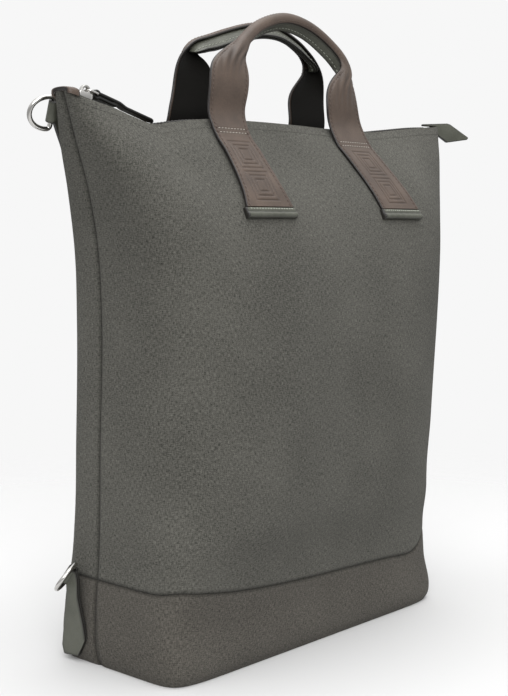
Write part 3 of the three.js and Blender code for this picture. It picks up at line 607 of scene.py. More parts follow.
hide = mix_colour(leather, blend_tone, leather_in.outputs["Dark"], leather_in.outputs["Light"])
pressed = math_node(leather, "MULTIPLY", leather_in.outputs["Pressed"], 0.6)
hide = mix_colour(leather, pressed, hide, leather_in.outputs["Paint"])
hide = mix_colour(leather, leather_in.outputs["Edge"], hide, leather_in.outputs["Paint"])
leather.links.new(hide, leather_out.inputs["Color"])
grain_height = math_node(leather, "MINIMUM", pebbles.outputs["Distance"], 0.35)
leather.links.new(
    math_node(leather, "ADD", grain_height, math_node(leather, "MULTIPLY", fine, 0.25)),
    leather_out.inputs["Height"],
)
gloss = math_node(leather, "ADD", 0.36, math_node(leather, "MULTIPLY", fine, 0.2))
gloss = math_node(
    leather, "SUBTRACT", gloss, math_node(leather, "MULTIPLY", leather_in.outputs["Edge"], 0.12)
)
leather.links.new(gloss, leather_out.inputs["Roughness"])


def leather_finish(name, dark, light, paint):
    """Leather. The masks edge and pressed say where it is painted or pressed; on the straps the
    pressed mask also holds painted shade in the pleat valleys.
    """
    material, surface = new_finish(name, Specular_IOR_Level=0.4)
    tree = material.node_tree
    masks = [
        add_node(tree, "ShaderNodeAttribute", attribute_name=mask).outputs["Fac"]
        for mask in ("edge", "pressed")
    ]
    hide_node = add_node(
        tree, "ShaderNodeGroup",
        [("Place", object_place(tree)), ("Dark", dark), ("Light", light), ("Paint", paint),
         ("Edge", masks[0]), ("Pressed", masks[1])],
        node_tree=leather,
    )
    tree.links.new(hide_node.outputs["Color"], surface.inputs["Base Color"])
    tree.links.new(hide_node.outputs["Roughness"], surface.inputs["Roughness"])
    add_relief(tree, surface, hide_node.outputs["Height"], 0.35, 0.0004)
    return material


brown_leather = leather_finish(
    "brown_leather", (0.028, 0.019, 0.014, 1), (0.120, 0.084, 0.063, 1), (0.014, 0.011, 0.010, 1)
)

# Sewing thread: waxed thread in rows of short stitches, each a little arch whose two ends dip
# into the leather or the cloth
thread_template = []
for ring_place in np.linspace(0, 1, 7):
    swell = 0.35 + 0.65 * sin(pi * ring_place) ** 0.5
    for corner in range(6):
        turn = corner / 6 * 2 * pi
        thread_template.append((ring_place - 0.5, 0.5 * swell * cos(turn),
                                0.5 * swell * sin(turn) + 0.45 * sin(pi * ring_place) - 0.25))
thread_template = np.array(thread_template)


def thread_finish(name, dark, light):
    material, surface = new_finish(name, Roughness=0.7, Specular_IOR_Level=0.3)
    tree = material.node_tree
    twist = noise(tree, object_place(tree), 2600.0)
    tree.links.new(mix_colour(tree, twist, dark, light), surface.inputs["Base Color"])
    return material


def bead_faces(count, corners, turned=False):
    """Faces of closed shapes that follow one another, each of seven rings of corners."""
    faces = []
    for base in np.arange(count) * 7 * corners:
        for start in base + np.arange(6) * corners:
            for corner in range(corners):
                a, b = int(start + corner), int(start + (corner + 1) % corners)
                faces.append((a, b, b + corners, a + corners))
        faces.append(tuple(int(base) + corner for corner in reversed(range(corners))))
        faces.append(tuple(int(base) + 6 * corners + corner for corner in range(corners)))
    return [(face[0], *face[:0:-1]) for face in faces] if turned else faces


def stitch_row(name, path, normals, finish, pitch=3.4, length=2.5, thickness=0.75):
    """Threads along a path in mm, one every pitch, standing on the given normals."""
    run = run_along(path)
    count = max(int(run[-1] / pitch), 1)
    places = (np.arange(count) + 0.5) * run[-1] / count
    at, ahead, behind, up = (
        np.stack([np.interp(places + step, run, rows[:, k]) for k in range(3)], -1)
        for rows, step in ((path, 0), (path, 0.6), (path, -0.6), (normals, 0))
    )
    along = unit(ahead - behind)
    up = unit(up - along * np.sum(up * along, axis=1, keepdims=True))
    side = np.cross(up, along)
    shape = thread_template * [length, thickness, thickness]
    points = (
        at[:, None] + shape[None, :, :1] * along[:, None] + shape[None, :, 1:2] * side[:, None]
        + shape[None, :, 2:] * up[:, None]
    ).reshape(-1, 3)
    mesh = bpy.data.meshes.new(name)
    mesh.from_pydata((points * MM).tolist(), [], bead_faces(count, 6))
    set_piece(name, mesh, finish)


pale_thread = thread_finish("pale_thread", (0.22, 0.20, 0.17, 1), (0.48, 0.45, 0.40, 1))
brown_thread = thread_finish("brown_thread", (0.05, 0.037, 0.031, 1), (0.14, 0.105, 0.09, 1))
green_thread = thread_finish("green_thread", (0.20, 0.21, 0.17, 1), (0.42, 0.44, 0.38, 1))

# The two carrying handles: leather straps that are sewn flat to the cloth, leave it just
# under the rim and roll lengthwise round a folded core into a grip. The legs carry pressed
# nested frames and two rows of stitches where they leave the cloth.
HALF_SPAN, HANDLE_RISE, STANDOFF, HANDLE_SHIFT = 63.5, 84.0, 19.0, 4.0
STRAP_WIDTH, LEATHER = 42.0, 2.2
GRIP_RADIUS, GRIP_FOLD, GRIP_TURN = 2.5, 1.75, 0.5
FOOT_HEIGHT, LEG_LIFT_OFF, STRAP_LIFT = 326.0, 14.0, 1.0
ZIP_LINE_Y = -11.0
# across, rise, lean, width, fold
HANDLE_ROWS = {
    FRONT: [
        [-1.09, 0.06, 1.00, 0.90, 0.00], [-1.06, 0.21, 1.04, 0.94, 0.00],
        [-1.03, 0.35, 1.02, 0.97, 0.02], [-0.97, 0.48, 0.95, 1.00, 0.20],
        [-0.87, 0.56, 0.88, 1.00, 0.46], [-0.75, 0.635, 0.78, 1.00, 0.78],
        [-0.66, 0.70, 0.65, 1.00, 0.98], [-0.37, 0.85, 0.50, 1.00, 1.00],
        [-0.06, 0.94, 0.45, 1.00, 1.00], [0.14, 0.97, 0.44, 1.00, 1.00],
        [0.36, 0.965, 0.44, 1.00, 1.00], [0.67, 0.91, 0.46, 1.00, 1.00],
        [0.96, 0.80, 0.52, 1.00, 1.00], [1.13, 0.69, 0.66, 1.00, 0.97],
        [1.18, 0.60, 0.80, 1.00, 0.88], [1.17, 0.52, 0.92, 1.00, 0.74],
        [1.07, 0.44, 1.00, 1.00, 0.42], [1.00, 0.33, 1.03, 0.98, 0.18],
        [0.98, 0.20, 1.04, 0.93, 0.02], [1.03, 0.06, 1.00, 0.96, 0.00],
    ],
    BACK: [
        [-1.02, 0.06, 1.00, 1.05, 0.00], [-0.96, 0.21, 1.05, 1.05, 0.00],
        [-0.93, 0.35, 1.08, 1.05, 0.02], [-0.97, 0.48, 1.14, 1.00, 0.20],
        [-1.02, 0.57, 1.20, 1.00, 0.50], [-0.98, 0.66, 1.22, 1.00, 0.85],
        [-0.69, 0.75, 1.16, 1.00, 1.00], [-0.33, 0.84, 1.11, 1.00, 1.00],
        [-0.02, 0.90, 1.10, 1.00, 1.00], [0.22, 0.92, 1.10, 1.00, 1.00],
        [0.46, 0.91, 1.10, 1.00, 1.00], [0.73, 0.85, 1.11, 1.00, 1.00],
        [0.98, 0.76, 1.12, 1.00, 1.00], [1.12, 0.66, 1.14, 1.00, 0.90],
        [1.14, 0.55, 1.15, 1.00, 0.60], [1.10, 0.45, 1.12, 1.00, 0.25],
        [1.07, 0.33, 1.08, 1.05, 0.02], [1.07, 0.20, 1.05, 1.05, 0.00],
        [1.07, 0.06, 1.00, 1.05, 0.00],
    ],
}
# climb, left, right, left width, right width
LEG_ROWS = np.array([
    [0.00, -1.08, 1.32, 1.11, 1.15], [0.25, -1.08, 1.26, 0.98, 1.11],
    [0.50, -1.08, 1.20, 0.90, 1.08], [0.75, -1.08, 1.13, 0.86, 1.05],
    [1.00, -1.10, 1.07, 0.84, 1.04],
])
read_leg = table_curve(LEG_ROWS)
FOOT_RUN, FOOT_CROWD = 72, 3.0
HELD_RUN, FREED_RUN, EASE_REACH = 58, 16, 6.0


def headings(points):
    """The direction of a line at each of its points, of any length."""
    first, last = points[1:2] - points[:1], points[-1:] - points[-2:-1]
    return np.concatenate([first, points[2:] - points[:-2], last])


def smooth_through(points, places):
    """A centripetal curve through rows of points, read at places from 0 to 1."""
    points = np.asarray(points, float)
    at = places * (len(points) - 1)
    low = np.minimum(at.astype(int), len(points) - 2)
    t = (at - low)[:, None]
    spread = np.concatenate([[2 * points[0] - points[1]], points, [2 * points[-1] - points[-2]]])
    p0, p1, p2, p3 = (spread[low + k] for k in range(4))
    d0, d1, d2 = (
        np.sum((one - two) ** 2, axis=1, keepdims=True) ** 0.25
        for one, two in ((p0, p1), (p1, p2), (p2, p3))
    )
    d1 = np.where(d1 < 1e-4, 1, d1)
    d0 = np.where(d0 < 1e-4, d1, d0)
    d2 = np.where(d2 < 1e-4, d1, d2)
    slope_in = ((p1 - p0) / d0 - (p2 - p0) / (d0 + d1) + (p2 - p1) / d1) * d1
    slope_out = ((p2 - p1) / d1 - (p3 - p1) / (d1 + d2) + (p3 - p2) / d2) * d1
    bend = -3 * p1 + 3 * p2 - 2 * slope_in - slope_out
    close = 2 * p1 - 2 * p2 + slope_in + slope_out
    return p1 + slope_in * t + bend * t**2 + close * t**3


def handle_line(side, count):
    """The strap from its left foot to its right one, as smooth rows of stations."""
    mouth = float(mouth_height(0.0)) - GAP
    table = np.array(HANDLE_ROWS[side])
    across, rise, lean, width, fold = table.T
    free = np.stack([
        across * HALF_SPAN - HANDLE_SHIFT, ZIP_LINE_Y + side * STANDOFF * lean,
        mouth + rise * HANDLE_RISE,
    ], -1)
    along = headings(free)
    rising = unit(np.stack([-along[:, 2], np.zeros(len(free)), along[:, 0]], -1))
    turn = (GRIP_TURN * fold)[:, None]
    normal = unit(np.array([0.0, side, 0.0]) * (1 - turn) + rising * turn)
    crossing = unit(np.cross(along, normal))
    level = np.sign(crossing[:, :1]) * [1.0, 0.0, 0.0]
    hold = (fold ** 3)[:, None]
    crossing = unit(level * (1 - hold) + crossing * hold)

    legs = []
    for column, sign in ((0, 1), (1, -1)):
        climb = np.linspace(0, 1, 6)
        place = read_leg(climb)
        x = place[:, column] * HALF_SPAN - HANDLE_SHIFT
        z = FOOT_HEIGHT + GAP + (mouth - LEG_LIFT_OFF - FOOT_HEIGHT - GAP) * climb
        share = share_at(side, z, x)
        way = way_at(side, share, x)
        out = bag_normal(side, share, way)
        point = bag_point(side, share, way) + out * STRAP_LIFT
        over = unit(np.cross([0.0, 0.0, 1.0], out)) * sign
        leg = (point, out, over, place[:, column + 2], np.zeros(6))
        legs.append([part[::sign] for part in leg])
    rows = [
        np.concatenate([legs[0][k], part, legs[1][k]])
        for k, part in enumerate((free, normal, crossing, width, fold))
    ]
    fine = np.linspace(0, 1, 3001)
    length = np.linalg.norm(np.diff(smooth_through(rows[0], fine), axis=0), axis=1)
    run = np.concatenate([[0], np.cumsum(length)])
    crowd = np.minimum(run, run[-1] - run)
    weight = np.where(crowd < FOOT_RUN, FOOT_CROWD, 1.0)
    spent = np.concatenate([[0], np.cumsum((weight[1:] + weight[:-1]) / 2 * length)])
    places = np.interp(np.linspace(0, spent[-1], count), spent, fine)
    at = np.interp(places, fine, run)
    free_run = np.clip((np.minimum(at, run[-1] - at) - HELD_RUN) / FREED_RUN, 0, 1)[:, None]

    def eased(values):
        """The values smoothed along the strap where it hangs free of the cloth."""
        near = np.exp(-(((at[:, None] - at[None]) / EASE_REACH) ** 2)) * np.gradient(at)[None]
        soft = near @ values / near.sum(1, keepdims=True)
        return values * (1 - free_run) + soft * free_run

    shape = eased(smooth_through(np.stack([rows[4], rows[3], 0 * rows[3]], -1), places))
    share = np.clip(shape[:, 0], 0, 1)
    point = eased(smooth_through(rows[0], places))
    over = unit(eased(smooth_through(rows[2], places)))
    out = eased(smooth_through(rows[1], places))
    out = unit(out - over * np.sum(out * over, axis=1, keepdims=True))
    width = STRAP_WIDTH * shape[:, 1] * (1 - share) + 2 * GRIP_RADIUS * GRIP_FOLD * share
    return {"point": point, "normal": out, "across": over, "width": width,
            "fold": share * GRIP_FOLD, "share": share, "run": at}


def strap_point(line, off, depth):
    """Points of a strap, at off mm from its middle and depth mm out of its inner face."""
    curl = np.maximum(line["fold"], 0.01)[:, None]
    radius = line["width"][:, None] / 2 / curl
    angle = (off / radius)[..., None]
    point, normal, across = (line[key][:, None] for key in ("point", "normal", "across"))
    facing = normal * np.cos(angle) + across * np.sin(angle)
    return point - normal * radius[..., None] + facing * (radius + depth)[..., None], facing


def rounded_row(half, corner, least, columns):
    """Places across a sheet of this half width, and how far its face drops at each towards
    the rounded edges."""
    turn = np.linspace(0, pi / 2, 4)[:-1]
    inner = np.maximum(half - corner, half * least)
    left = -inner - (half - inner) * np.cos(turn)
    off = np.concatenate([left, inner * np.linspace(-1, 1, columns), -left[:, ::-1]], 1)
    drop = np.zeros(off.shape[1])
    drop[:3] = corner * (1 - np.sin(turn))
    drop[-3:] = drop[:3][::-1]
    return off, drop


def strap_rings(line, near, far, columns, width_share=1.0, relief=None):
    """Rings of a strap between two depths, with its uv, its edge mask and its pressed mask, which
    is the relief's depth and so also darkens the pleat valleys as painted shade.
    """
    half = line["width"][:, None] / 2 * width_share
    off, drop = rounded_row(half, 0.44 * (far - near), 0.6, columns)
    level = np.zeros(off.shape)
    sunk = relief(line, off) if relief else level
    outer, _ = strap_point(line, off, far - drop - sunk)
    lower, _ = strap_point(line, off, near + drop + level)
    uv = [both_faces(off), both_faces(line["run"][:, None] + level)]
    edge = np.clip((np.abs(off) - (half - 1.1)) / 0.5, 0, 1)
    return there_and_back(outer, lower), uv, both_faces(edge), there_and_back(sunk, level)


GROOVE, SEAM_INSET = 0.5, 3.0
NARROW, NARROW_SEAM = 16, 0.3
LEG_ROWS_AT, LEG_ROW_SHIFTS = (62.0, 60.0), (0.0, 3.6)
FRAME_MIDDLES, FRAME_INSETS = (16.5, 43.0), (0.0, 3.4, 6.8)
FRAME_LENGTH, FRAME_WIDTH, FRAME_LINE = 23.0, 22.0, 0.55
PLEAT_DEPTH, PLEAT_PITCH, PLEAT_LEAN = 0.55, 6.5, 23


def frame_lines(run, off):
    """Pressed lines of nested frames, one above the other, at run mm from the foot."""
    lines = np.zeros(off.shape)
    for middle in FRAME_MIDDLES:
        for inset in FRAME_INSETS:
            reach = np.maximum(np.abs(run - middle) - (FRAME_LENGTH / 2 - inset),
                               np.abs(off) - (FRAME_WIDTH / 2 - inset))
            lines += np.exp(-((reach / FRAME_LINE) ** 2))
    return np.minimum(lines, 1)


def strap_relief(line, off):
    """How far a strap is pressed in: along its seams, its frames and the rows of stitches,
    and in pleats where it gathers into the grip. The same depth darkens the leather's colour,
    which in the pleat valleys is painted shade."""
    run = line["run"][:, None] + np.zeros(off.shape)
    half = line["width"][:, None] / 2
    seam = np.exp(-(((np.abs(off) - (half - SEAM_INSET)) / 0.8) ** 2)) * 0.6
    sunk = seam * (half > 10)
    for row, from_foot in zip(LEG_ROWS_AT, (run, run[-1:] - run)):
        sunk = sunk + frame_lines(from_foot, off)
        for shift in LEG_ROW_SHIFTS:
            sunk = sunk + 0.5 * np.exp(-(((from_foot - row - shift) / 0.9) ** 2))
    share = line["share"][:, None]
    gather = 4 * share * (1 - share) * (1 - (off / half) ** 2)
    # Painted shade: the pleat valleys also darken the leather's colour through the pressed mask.
    pleats = PLEAT_DEPTH * gather * np.sin(off * 2 * pi / PLEAT_PITCH + run / PLEAT_LEAN)
    return GROOVE * np.minimum(sunk, 1) + pleats


def part_of(line, keep):
    return {key: values[keep] for key, values in line.items()}


handle_lines = {}
for name, side in SIDES.items():
    line = handle_line(side, 470)
    handle_lines[name] = line
    rings, uv, edge, press = strap_rings(line, 0.0, LEATHER, 56, relief=strap_relief)
    skin(f"handle_{name}_strap", rings, brown_leather, "brown_leather", [f"handle_{name}"], uv,
         edge=edge, pressed=press)
    width = line["width"][:, None]
    for edge_name, sign in (("left", -1), ("right", 1)):
        seam_off = sign * np.where(width < NARROW, width * NARROW_SEAM, width / 2 - SEAM_INSET)
        path, facing = strap_point(line, seam_off, LEATHER + 0 * seam_off - 0.2)
        stitch_row(f"handle_{name}_seam_{edge_name}", path[:, 0], facing[:, 0], brown_thread)
    total = line["run"][-1]
    for end, place in enumerate(("left", "right")):
        for number, shift in enumerate(LEG_ROW_SHIFTS):
            run = LEG_ROWS_AT[end] + shift
            run = run if end == 0 else total - run
            station = int(np.argmin(np.abs(line["run"] - run)))
            here = part_of(line, slice(station, station + 1))
            half = here["width"][0] / 2 - SEAM_INSET - 1
            off = np.linspace(-half, half, 30)[None]
            path, facing = strap_point(here, off, LEATHER + 0 * off - 0.15)
            stitch_row(f"handle_{name}_rim_row_{place}_{number + 1}", path[0], facing[0],
                       pale_thread, pitch=2.9, length=1.9, thickness=0.8)


# Grips: the green core of two plies that the strap is rolled round, sewn together along its
# lower edge, which is cut and painted dark
green_leather = leather_finish(
    "green_leather", (0.036, 0.037, 0.028, 1), (0.112, 0.116, 0.092, 1), (0.016, 0.015, 0.013, 1)
)
CORE_WIDTH, CORE_DEPTH, CORE_START = 4.4, 10.5, 0.6
CORE_SEAM, CORE_END, CORE_END_RUN = 0.68, 0.62, 7
CORE_PROFILE = np.array([
    [-0.80, 0.00], [-0.97, 0.05], [-1.00, 0.20], [-1.00, 0.45], [-0.97, 0.62], [-0.93, 0.68],
    [-0.97, 0.75], [-1.00, 0.88], [-0.90, 0.97], [-0.55, 1.00], [-0.22, 0.96], [-0.06, 0.86],
])
for name, line in handle_lines.items():
    core = part_of(line, line["share"] > CORE_START)
    drop = GRIP_RADIUS - sqrt(GRIP_RADIUS**2 - (CORE_WIDTH / 2) ** 2) + 2 * GAP
    profile = np.concatenate([CORE_PROFILE, CORE_PROFILE[::-1] * [-1, 1]])
    off = profile[:, 0] * CORE_WIDTH / 2
    end_gap = np.minimum(core["run"] - core["run"][0], core["run"][-1] - core["run"])
    taper = CORE_END + (1 - CORE_END) * np.sqrt(np.clip(end_gap / CORE_END_RUN, 0, 1))
    depth = drop + profile[None, :, 1] * (CORE_DEPTH * taper)[:, None]
    rings = (
        core["point"][:, None] + core["across"][:, None] * off[None, :, None]
        - core["normal"][:, None] * depth[..., None]
    )
    edge = np.clip((profile[:, 1] - 0.86) / 0.08, 0, 1)[None] + np.zeros(depth.shape)
    press = (profile[:, 1] == CORE_SEAM)[None] + np.zeros(depth.shape)
    run = core["run"][:, None] + np.zeros(depth.shape)
    skin(f"handle_{name}_grip_core", rings, green_leather, "green_leather",
         [f"handle_{name}_grip"], (off[None] + 0 * run, run), edge=edge, pressed=press)
    for seam_name, sign in (("front", -1), ("back", 1)):
        path = (
            core["point"] + core["across"] * sign * (CORE_WIDTH / 2 - 0.05)
            - core["normal"] * (drop + CORE_SEAM * CORE_DEPTH * taper)[:, None]
        )
        stitch_row(f"handle_{name}_grip_seam_{seam_name}", path, core["across"] * sign,
                   green_thread, pitch=3.6, length=2.6, thickness=0.6)

# Lining of the legs: black cloth glued to the inner face of each strap between the rim of
# the bag and the grip
lining_cloth = cloth_finish(
    "lining_cloth", (0.003, 0.003, 0.002, 1), (0.010, 0.009, 0.008, 1), 0.0005, 0.8, 0.3
)
LINING_DROP, LINING_END, LINING_SHARE = 9.0, 0.75, 0.94
for name, line in handle_lines.items():
    lined = (line["point"][:, 2] > float(mouth_height(0.0)) - LINING_DROP)
    lined &= line["share"] < LINING_END
    for end, half_line in (("left", line["point"][:, 0] < -HANDLE_SHIFT),
                           ("right", line["point"][:, 0] > -HANDLE_SHIFT)):
        leg = part_of(line, lined & half_line)
        rings, uv, edge, _ = strap_rings(leg, -0.5, -0.08, 24, width_share=LINING_SHARE)
        skin(f"handle_{name}_lining_{end}_cloth", rings, lining_cloth, "lining",
             [f"handle_{name}_lining_{end}"], uv, seam=0 * edge)

# Foot caps: green leather folded round the lower end of each strap and sewn through all
# layers with a pale row; the fold bulges below the row and its ends are painted dark
CAP_HEIGHT, CAP_THICKNESS, CAP_OVERHANG, CAP_CREASE, CAP_ROW = 7.2, 4.2, 2.0, 0.56, 0.80
CAP_PROFILE = np.array([
    [0.00, 0.30], [0.02, 0.62], [0.08, 0.88], [0.18, 1.02], [0.30, 1.06], [0.42, 1.00],
    [0.50, 0.84], [0.56, 0.78], [0.64, 0.84], [0.80, 0.82], [0.92, 0.74], [0.985, 0.52],
    [1.00, 0.28],
])
cap_foot = read_leg(0.0)
for name, side in SIDES.items():
    for column, end in enumerate(("left", "right")):
        centre = cap_foot[column] * HALF_SPAN - HANDLE_SHIFT
        half = (STRAP_WIDTH * cap_foot[column + 2] + CAP_OVERHANG) / 2
        ends = np.array([-1, -0.985, -0.96])
        place = np.concatenate([ends, np.linspace(-0.93, 0.93, 34), -ends[::-1]])
        rounded = np.clip((1 - np.abs(place)) / 0.04, 0, 1)
        rounded = 0.45 + 0.55 * np.sqrt(rounded * (2 - rounded))
        face, under = [], []
        for rise, thickness in CAP_PROFILE:
            x = centre + place * half
            z = FOOT_HEIGHT - (1 - rise) * CAP_HEIGHT + 0 * x
            share = share_at(side, z, x)
            way = way_at(side, share, x)
            base, out = bag_point(side, share, way), bag_normal(side, share, way)
            wave = 1 + 0.03 * np.sin(place * 21 + column * 2)
            face.append(base + out * (GAP + CAP_THICKNESS * thickness * rounded * wave)[:, None])
            under.append(base + out * GAP)
        face, under = np.array(face), np.array(under)
        rings = there_and_back(face, under)
        shape = rings.shape[:2]
        across = np.concatenate([place, place[::-1]])[None] * half + np.zeros(shape)
        along = CAP_PROFILE[:, :1] * CAP_HEIGHT + np.zeros(shape)
        edge = np.clip((np.abs(across) - half + 1.5) / 0.6, 0, 1)
        low_edge = np.clip((0.10 - CAP_PROFILE[:, :1]) / 0.06, 0, 1) * 0.6
        pressed = np.exp(-(((CAP_PROFILE[:, :1] - CAP_CREASE) / 0.05) ** 2)) + np.zeros(shape)
        skin(f"foot_cap_{name}_{end}_fold", rings, green_leather, "green_leather",
             [f"foot_cap_{name}_{end}"], (across, along), sharp=60,
             edge=np.maximum(edge, low_edge + np.zeros(shape)), pressed=pressed)
        row = int(np.argmin(np.abs(CAP_PROFILE[:, 0] - CAP_ROW)))
        keep = slice(4, -4)
        out = unit(face[row, keep] - under[row, keep])
        stitch_row(f"foot_cap_{name}_{end}_row", face[row, keep], out, green_thread,
                   pitch=2.6, length=1.8, thickness=0.95)

# Zip: two tapes with a ribbed weave that close the mouth, and a row of dark coil teeth
# between them
tape_cloth = cloth_finish(
    "tape_cloth", (0.020, 0.016, 0.013, 1), (0.062, 0.050, 0.042, 1), 0.0011, 0.9, 0.8
)
teeth_finish, teeth_surface = new_finish("zip_teeth_finish", Specular_IOR_Level=0.5)
teeth_tree = teeth_finish.node_tree
teeth_wear = noise(teeth_tree, object_place(teeth_tree), 700.0, 3.0)
teeth_tree.links.new(
    mix_colour(teeth_tree, teeth_wear, (0.012, 0.011, 0.010, 1), (0.045, 0.042, 0.038, 1)),
    teeth_surface.inputs["Base Color"],
)
teeth_tree.links.new(
    math_node(teeth_tree, "ADD", 0.22, math_node(teeth_tree, "MULTIPLY", teeth_wear, 0.25)),
    teeth_surface.inputs["Roughness"],
)
TAPE_THICKNESS, TAPE_DROP, RIB_HEIGHT, RIB_PLACE, RIB_WIDTH = 1.0, 0.4, 0.35, 1.2, 0.8
TEETH_WIDTH, TEETH_HEIGHT, TEETH_PITCH, TOOTH_STAGGER = 5.0, 2.2, 1.7, 0.9
ZIP_SHARE, STRIP_LENGTH, STRIP_SETBACK = 0.955, 9.0, 5.0
half_mouth = float(section_at(np.array(1.0))["width"]) * BAG_WIDTH / 2
zip_reach = ZIP_SHARE * half_mouth
tape_inset = CLOTH + 2 * GAP


def zip_edge(side, x):
    return bag_point(side, np.ones(x.shape), way_at(side, 1.0, x, tape_inset), tape_inset)


tape_x = np.linspace(-zip_reach, zip_reach, 240)
rim = zip_edge(FRONT, tape_x)[:, 2] - TAPE_DROP
for name, side in SIDES.items():
    inner_y = ZIP_LINE_Y + side * (TEETH_WIDTH / 2 + GAP) + 0 * tape_x
    outer_y = zip_edge(side, tape_x)[:, 1]
    step = np.linspace(0, 1, 12)
    y = inner_y[:, None] + (outer_y - inner_y)[:, None] * step
    rib = np.exp(-(((np.abs(y - inner_y[:, None]) - RIB_PLACE) / RIB_WIDTH) ** 2))
    top = rim[:, None] - RIB_HEIGHT + RIB_HEIGHT * rib
    low = rim[:, None] - TAPE_THICKNESS + 0 * top
    x = tape_x[:, None] + 0 * y
    rings = there_and_back(np.stack([x, y, top], -1), np.stack([x, y, low], -1))
    skin(f"zip_tape_{name}_cloth", rings, tape_cloth, "zip_tape", [f"zip_tape_{name}"],
         [both_faces(y), both_faces(x)], seam=np.zeros(rings.shape[:2]))

teeth_start = STRIP_SETBACK - half_mouth + STRIP_LENGTH + GAP
tooth_x = np.arange(teeth_start + 1, zip_reach - 1, TEETH_PITCH)
tooth_z = zip_edge(FRONT, tooth_x)[:, 2] - TAPE_DROP - TAPE_THICKNESS + TEETH_HEIGHT / 2
tooth_rings = []
for turn in np.linspace(-0.94, 0.94, 7) * pi / 2:
    for corner in np.arange(8) / 8 * 2 * pi + pi / 8:
        tooth_rings.append((0.62 * cos(turn) ** 0.5 * cos(corner), 1.55 * sin(turn),
                            1.1 * cos(turn) ** 0.35 * sin(corner)))
tooth_rings = np.array(tooth_rings)
teeth_points = []
for number, (x, z) in enumerate(zip(tooth_x, tooth_z)):
    y = ZIP_LINE_Y + (TOOTH_STAGGER if number % 2 else -TOOTH_STAGGER)
    teeth_points.append(tooth_rings + [x, y, z])
teeth_mesh = bpy.data.meshes.new("zip_teeth_row")
teeth_mesh.from_pydata(
    (np.concatenate(teeth_points) * MM).tolist(), [], bead_faces(len(tooth_x), 8, turned=True)
)
set_piece("zip_teeth_row", teeth_mesh, teeth_finish, ["zip_teeth"])

# Topstitching along the rim: a row of the canvas's own colour, six millimetres under the
# folded edge, that holds the hem of each panel
RIM_SHARE, RIM_LIFT = 0.985, 0.1
canvas_thread = thread_finish("canvas_thread", (0.045, 0.044, 0.038, 1), (0.095, 0.093, 0.080, 1))
for name, side in SIDES.items():
    way = even_ways(side, RIM_SHARE, 400, 0)[12:-12]
    out = bag_normal(side, RIM_SHARE, way)
    stitch_row(f"rim_row_{name}", bag_point(side, RIM_SHARE, way) + out * RIM_LIFT, out,
               canvas_thread, pitch=3.2, length=2.0, thickness=0.5)

# Metal: nickel-plated wire and castings, polished, with a few soft scuffs. The rings and the
# link are bent from round wire and closed; leather sheet is folded round them.
chrome, chrome_surface = new_finish("polished_nickel", Base_Color=(0.56, 0.55, 0.53, 1))
chrome_tree = chrome.node_tree
chrome_scuff = noise(chrome_tree, object_place(chrome_tree), 260.0, 4.0)
chrome_surface.inputs["Metallic"].default_value = 1.0
chrome_tree.links.new(
    math_node(chrome_tree, "ADD", 0.06, math_node(chrome_tree, "MULTIPLY", chrome_scuff, 0.16)),
    chrome_surface.inputs["Roughness"],
)


def put_at(points, place):
    """Points moved to a place (a matrix)."""
    matrix = np.array(place)
    return points @ matrix[:3, :3].T + matrix[:3, 3]


def wire_loop(name, centres, wire, place, node, body="bag", sides=16):
    """A closed ring of round wire along points of a plane (x, z), put at a place (a matrix)."""
    along = unit(np.roll(centres, -1, axis=0) - np.roll(centres, 1, axis=0))
    out = np.stack([along[:, 1], 0 * along[:, 0], -along[:, 0]], -1)
    at = np.stack([centres[:, 0], 0 * centres[:, 0], centres[:, 1]], -1)
    turn = np.arange(sides) / sides * 2 * pi
    points = at[:, None] + wire / 2 * (
        np.cos(turn)[None, :, None] * out[:, None] + np.sin(turn)[None, :, None] * [0.0, 1.0, 0.0]
    )
    count = len(centres)
    index = np.arange(count * sides).reshape(count, sides)
    ahead, turned = np.roll(index, -1, axis=0), np.roll(index, -1, axis=1)
    both = np.roll(ahead, -1, axis=1)
    faces = np.stack([index, turned, both, ahead], -1).reshape(-1, 4)
    mesh = bpy.data.meshes.new(name)
    mesh.from_pydata((put_at(points.reshape(-1, 3), place) * MM).tolist(), [], faces.tolist())
    shape = bmesh.new()
    shape.from_mesh(mesh)
    bmesh.ops.recalc_face_normals(shape, faces=shape.faces)
    shape.to_mesh(mesh)
    shape.free()
    set_piece(name, mesh, chrome, [node], body=body)


def folded_sheet(name, path, low, high, thickness, place, finish, slot, node):
    """Leather of one thickness along a path (x, y), from low to high across it, put at a
    place (a matrix); its edges are rounded and carry the edge paint."""
    along = unit(headings(path))
    out = np.stack([-along[:, 1], along[:, 0]], -1)
    half = np.maximum(high - low, 0.4)[:, None] / 2
    off, drop = rounded_row(half, 0.45 * thickness, 0.5, 12)
    across = (high + low)[:, None] / 2 + off
    layers = []
    for sign in (1, -1):
        depth = sign * (thickness / 2 - drop)[None] + 0 * off
        flat = path[:, None] + out[:, None] * depth[..., None]
        layers.append(np.concatenate([flat, across[..., None]], -1))
    edge = both_faces(np.clip((np.abs(off) - (half - 1.0)) / 0.45, 0, 1))
    run = run_along(path)[:, None] + 0 * edge
    skin(name, put_at(there_and_back(*layers), place), finish, slot, [node],
         (both_faces(across), run), edge=edge, pressed=0 * edge)


# Carrying rings: four D-rings of bent wire, each in a leather tab that is folded round its
# straight bar and sewn into the side seam. The tabs lie on the cloth, the rings swing.
RING_WIRE, RING_WIDTH, RING_DEPTH, RING_PLAY, RING_CORNER = 3.4, 25.6, 20.0, 0.35, 3.0
TAB_LEATHER, TAB_FOLD_WIDTH, TAB_REACH = 1.6, 15.0, 60.0
RIGHT_TAB_SETBACK, RING_SLIDE, TOP_RING_TURN, LOW_RING_TURN = 2.6, 1.2, 0.2, -1.9
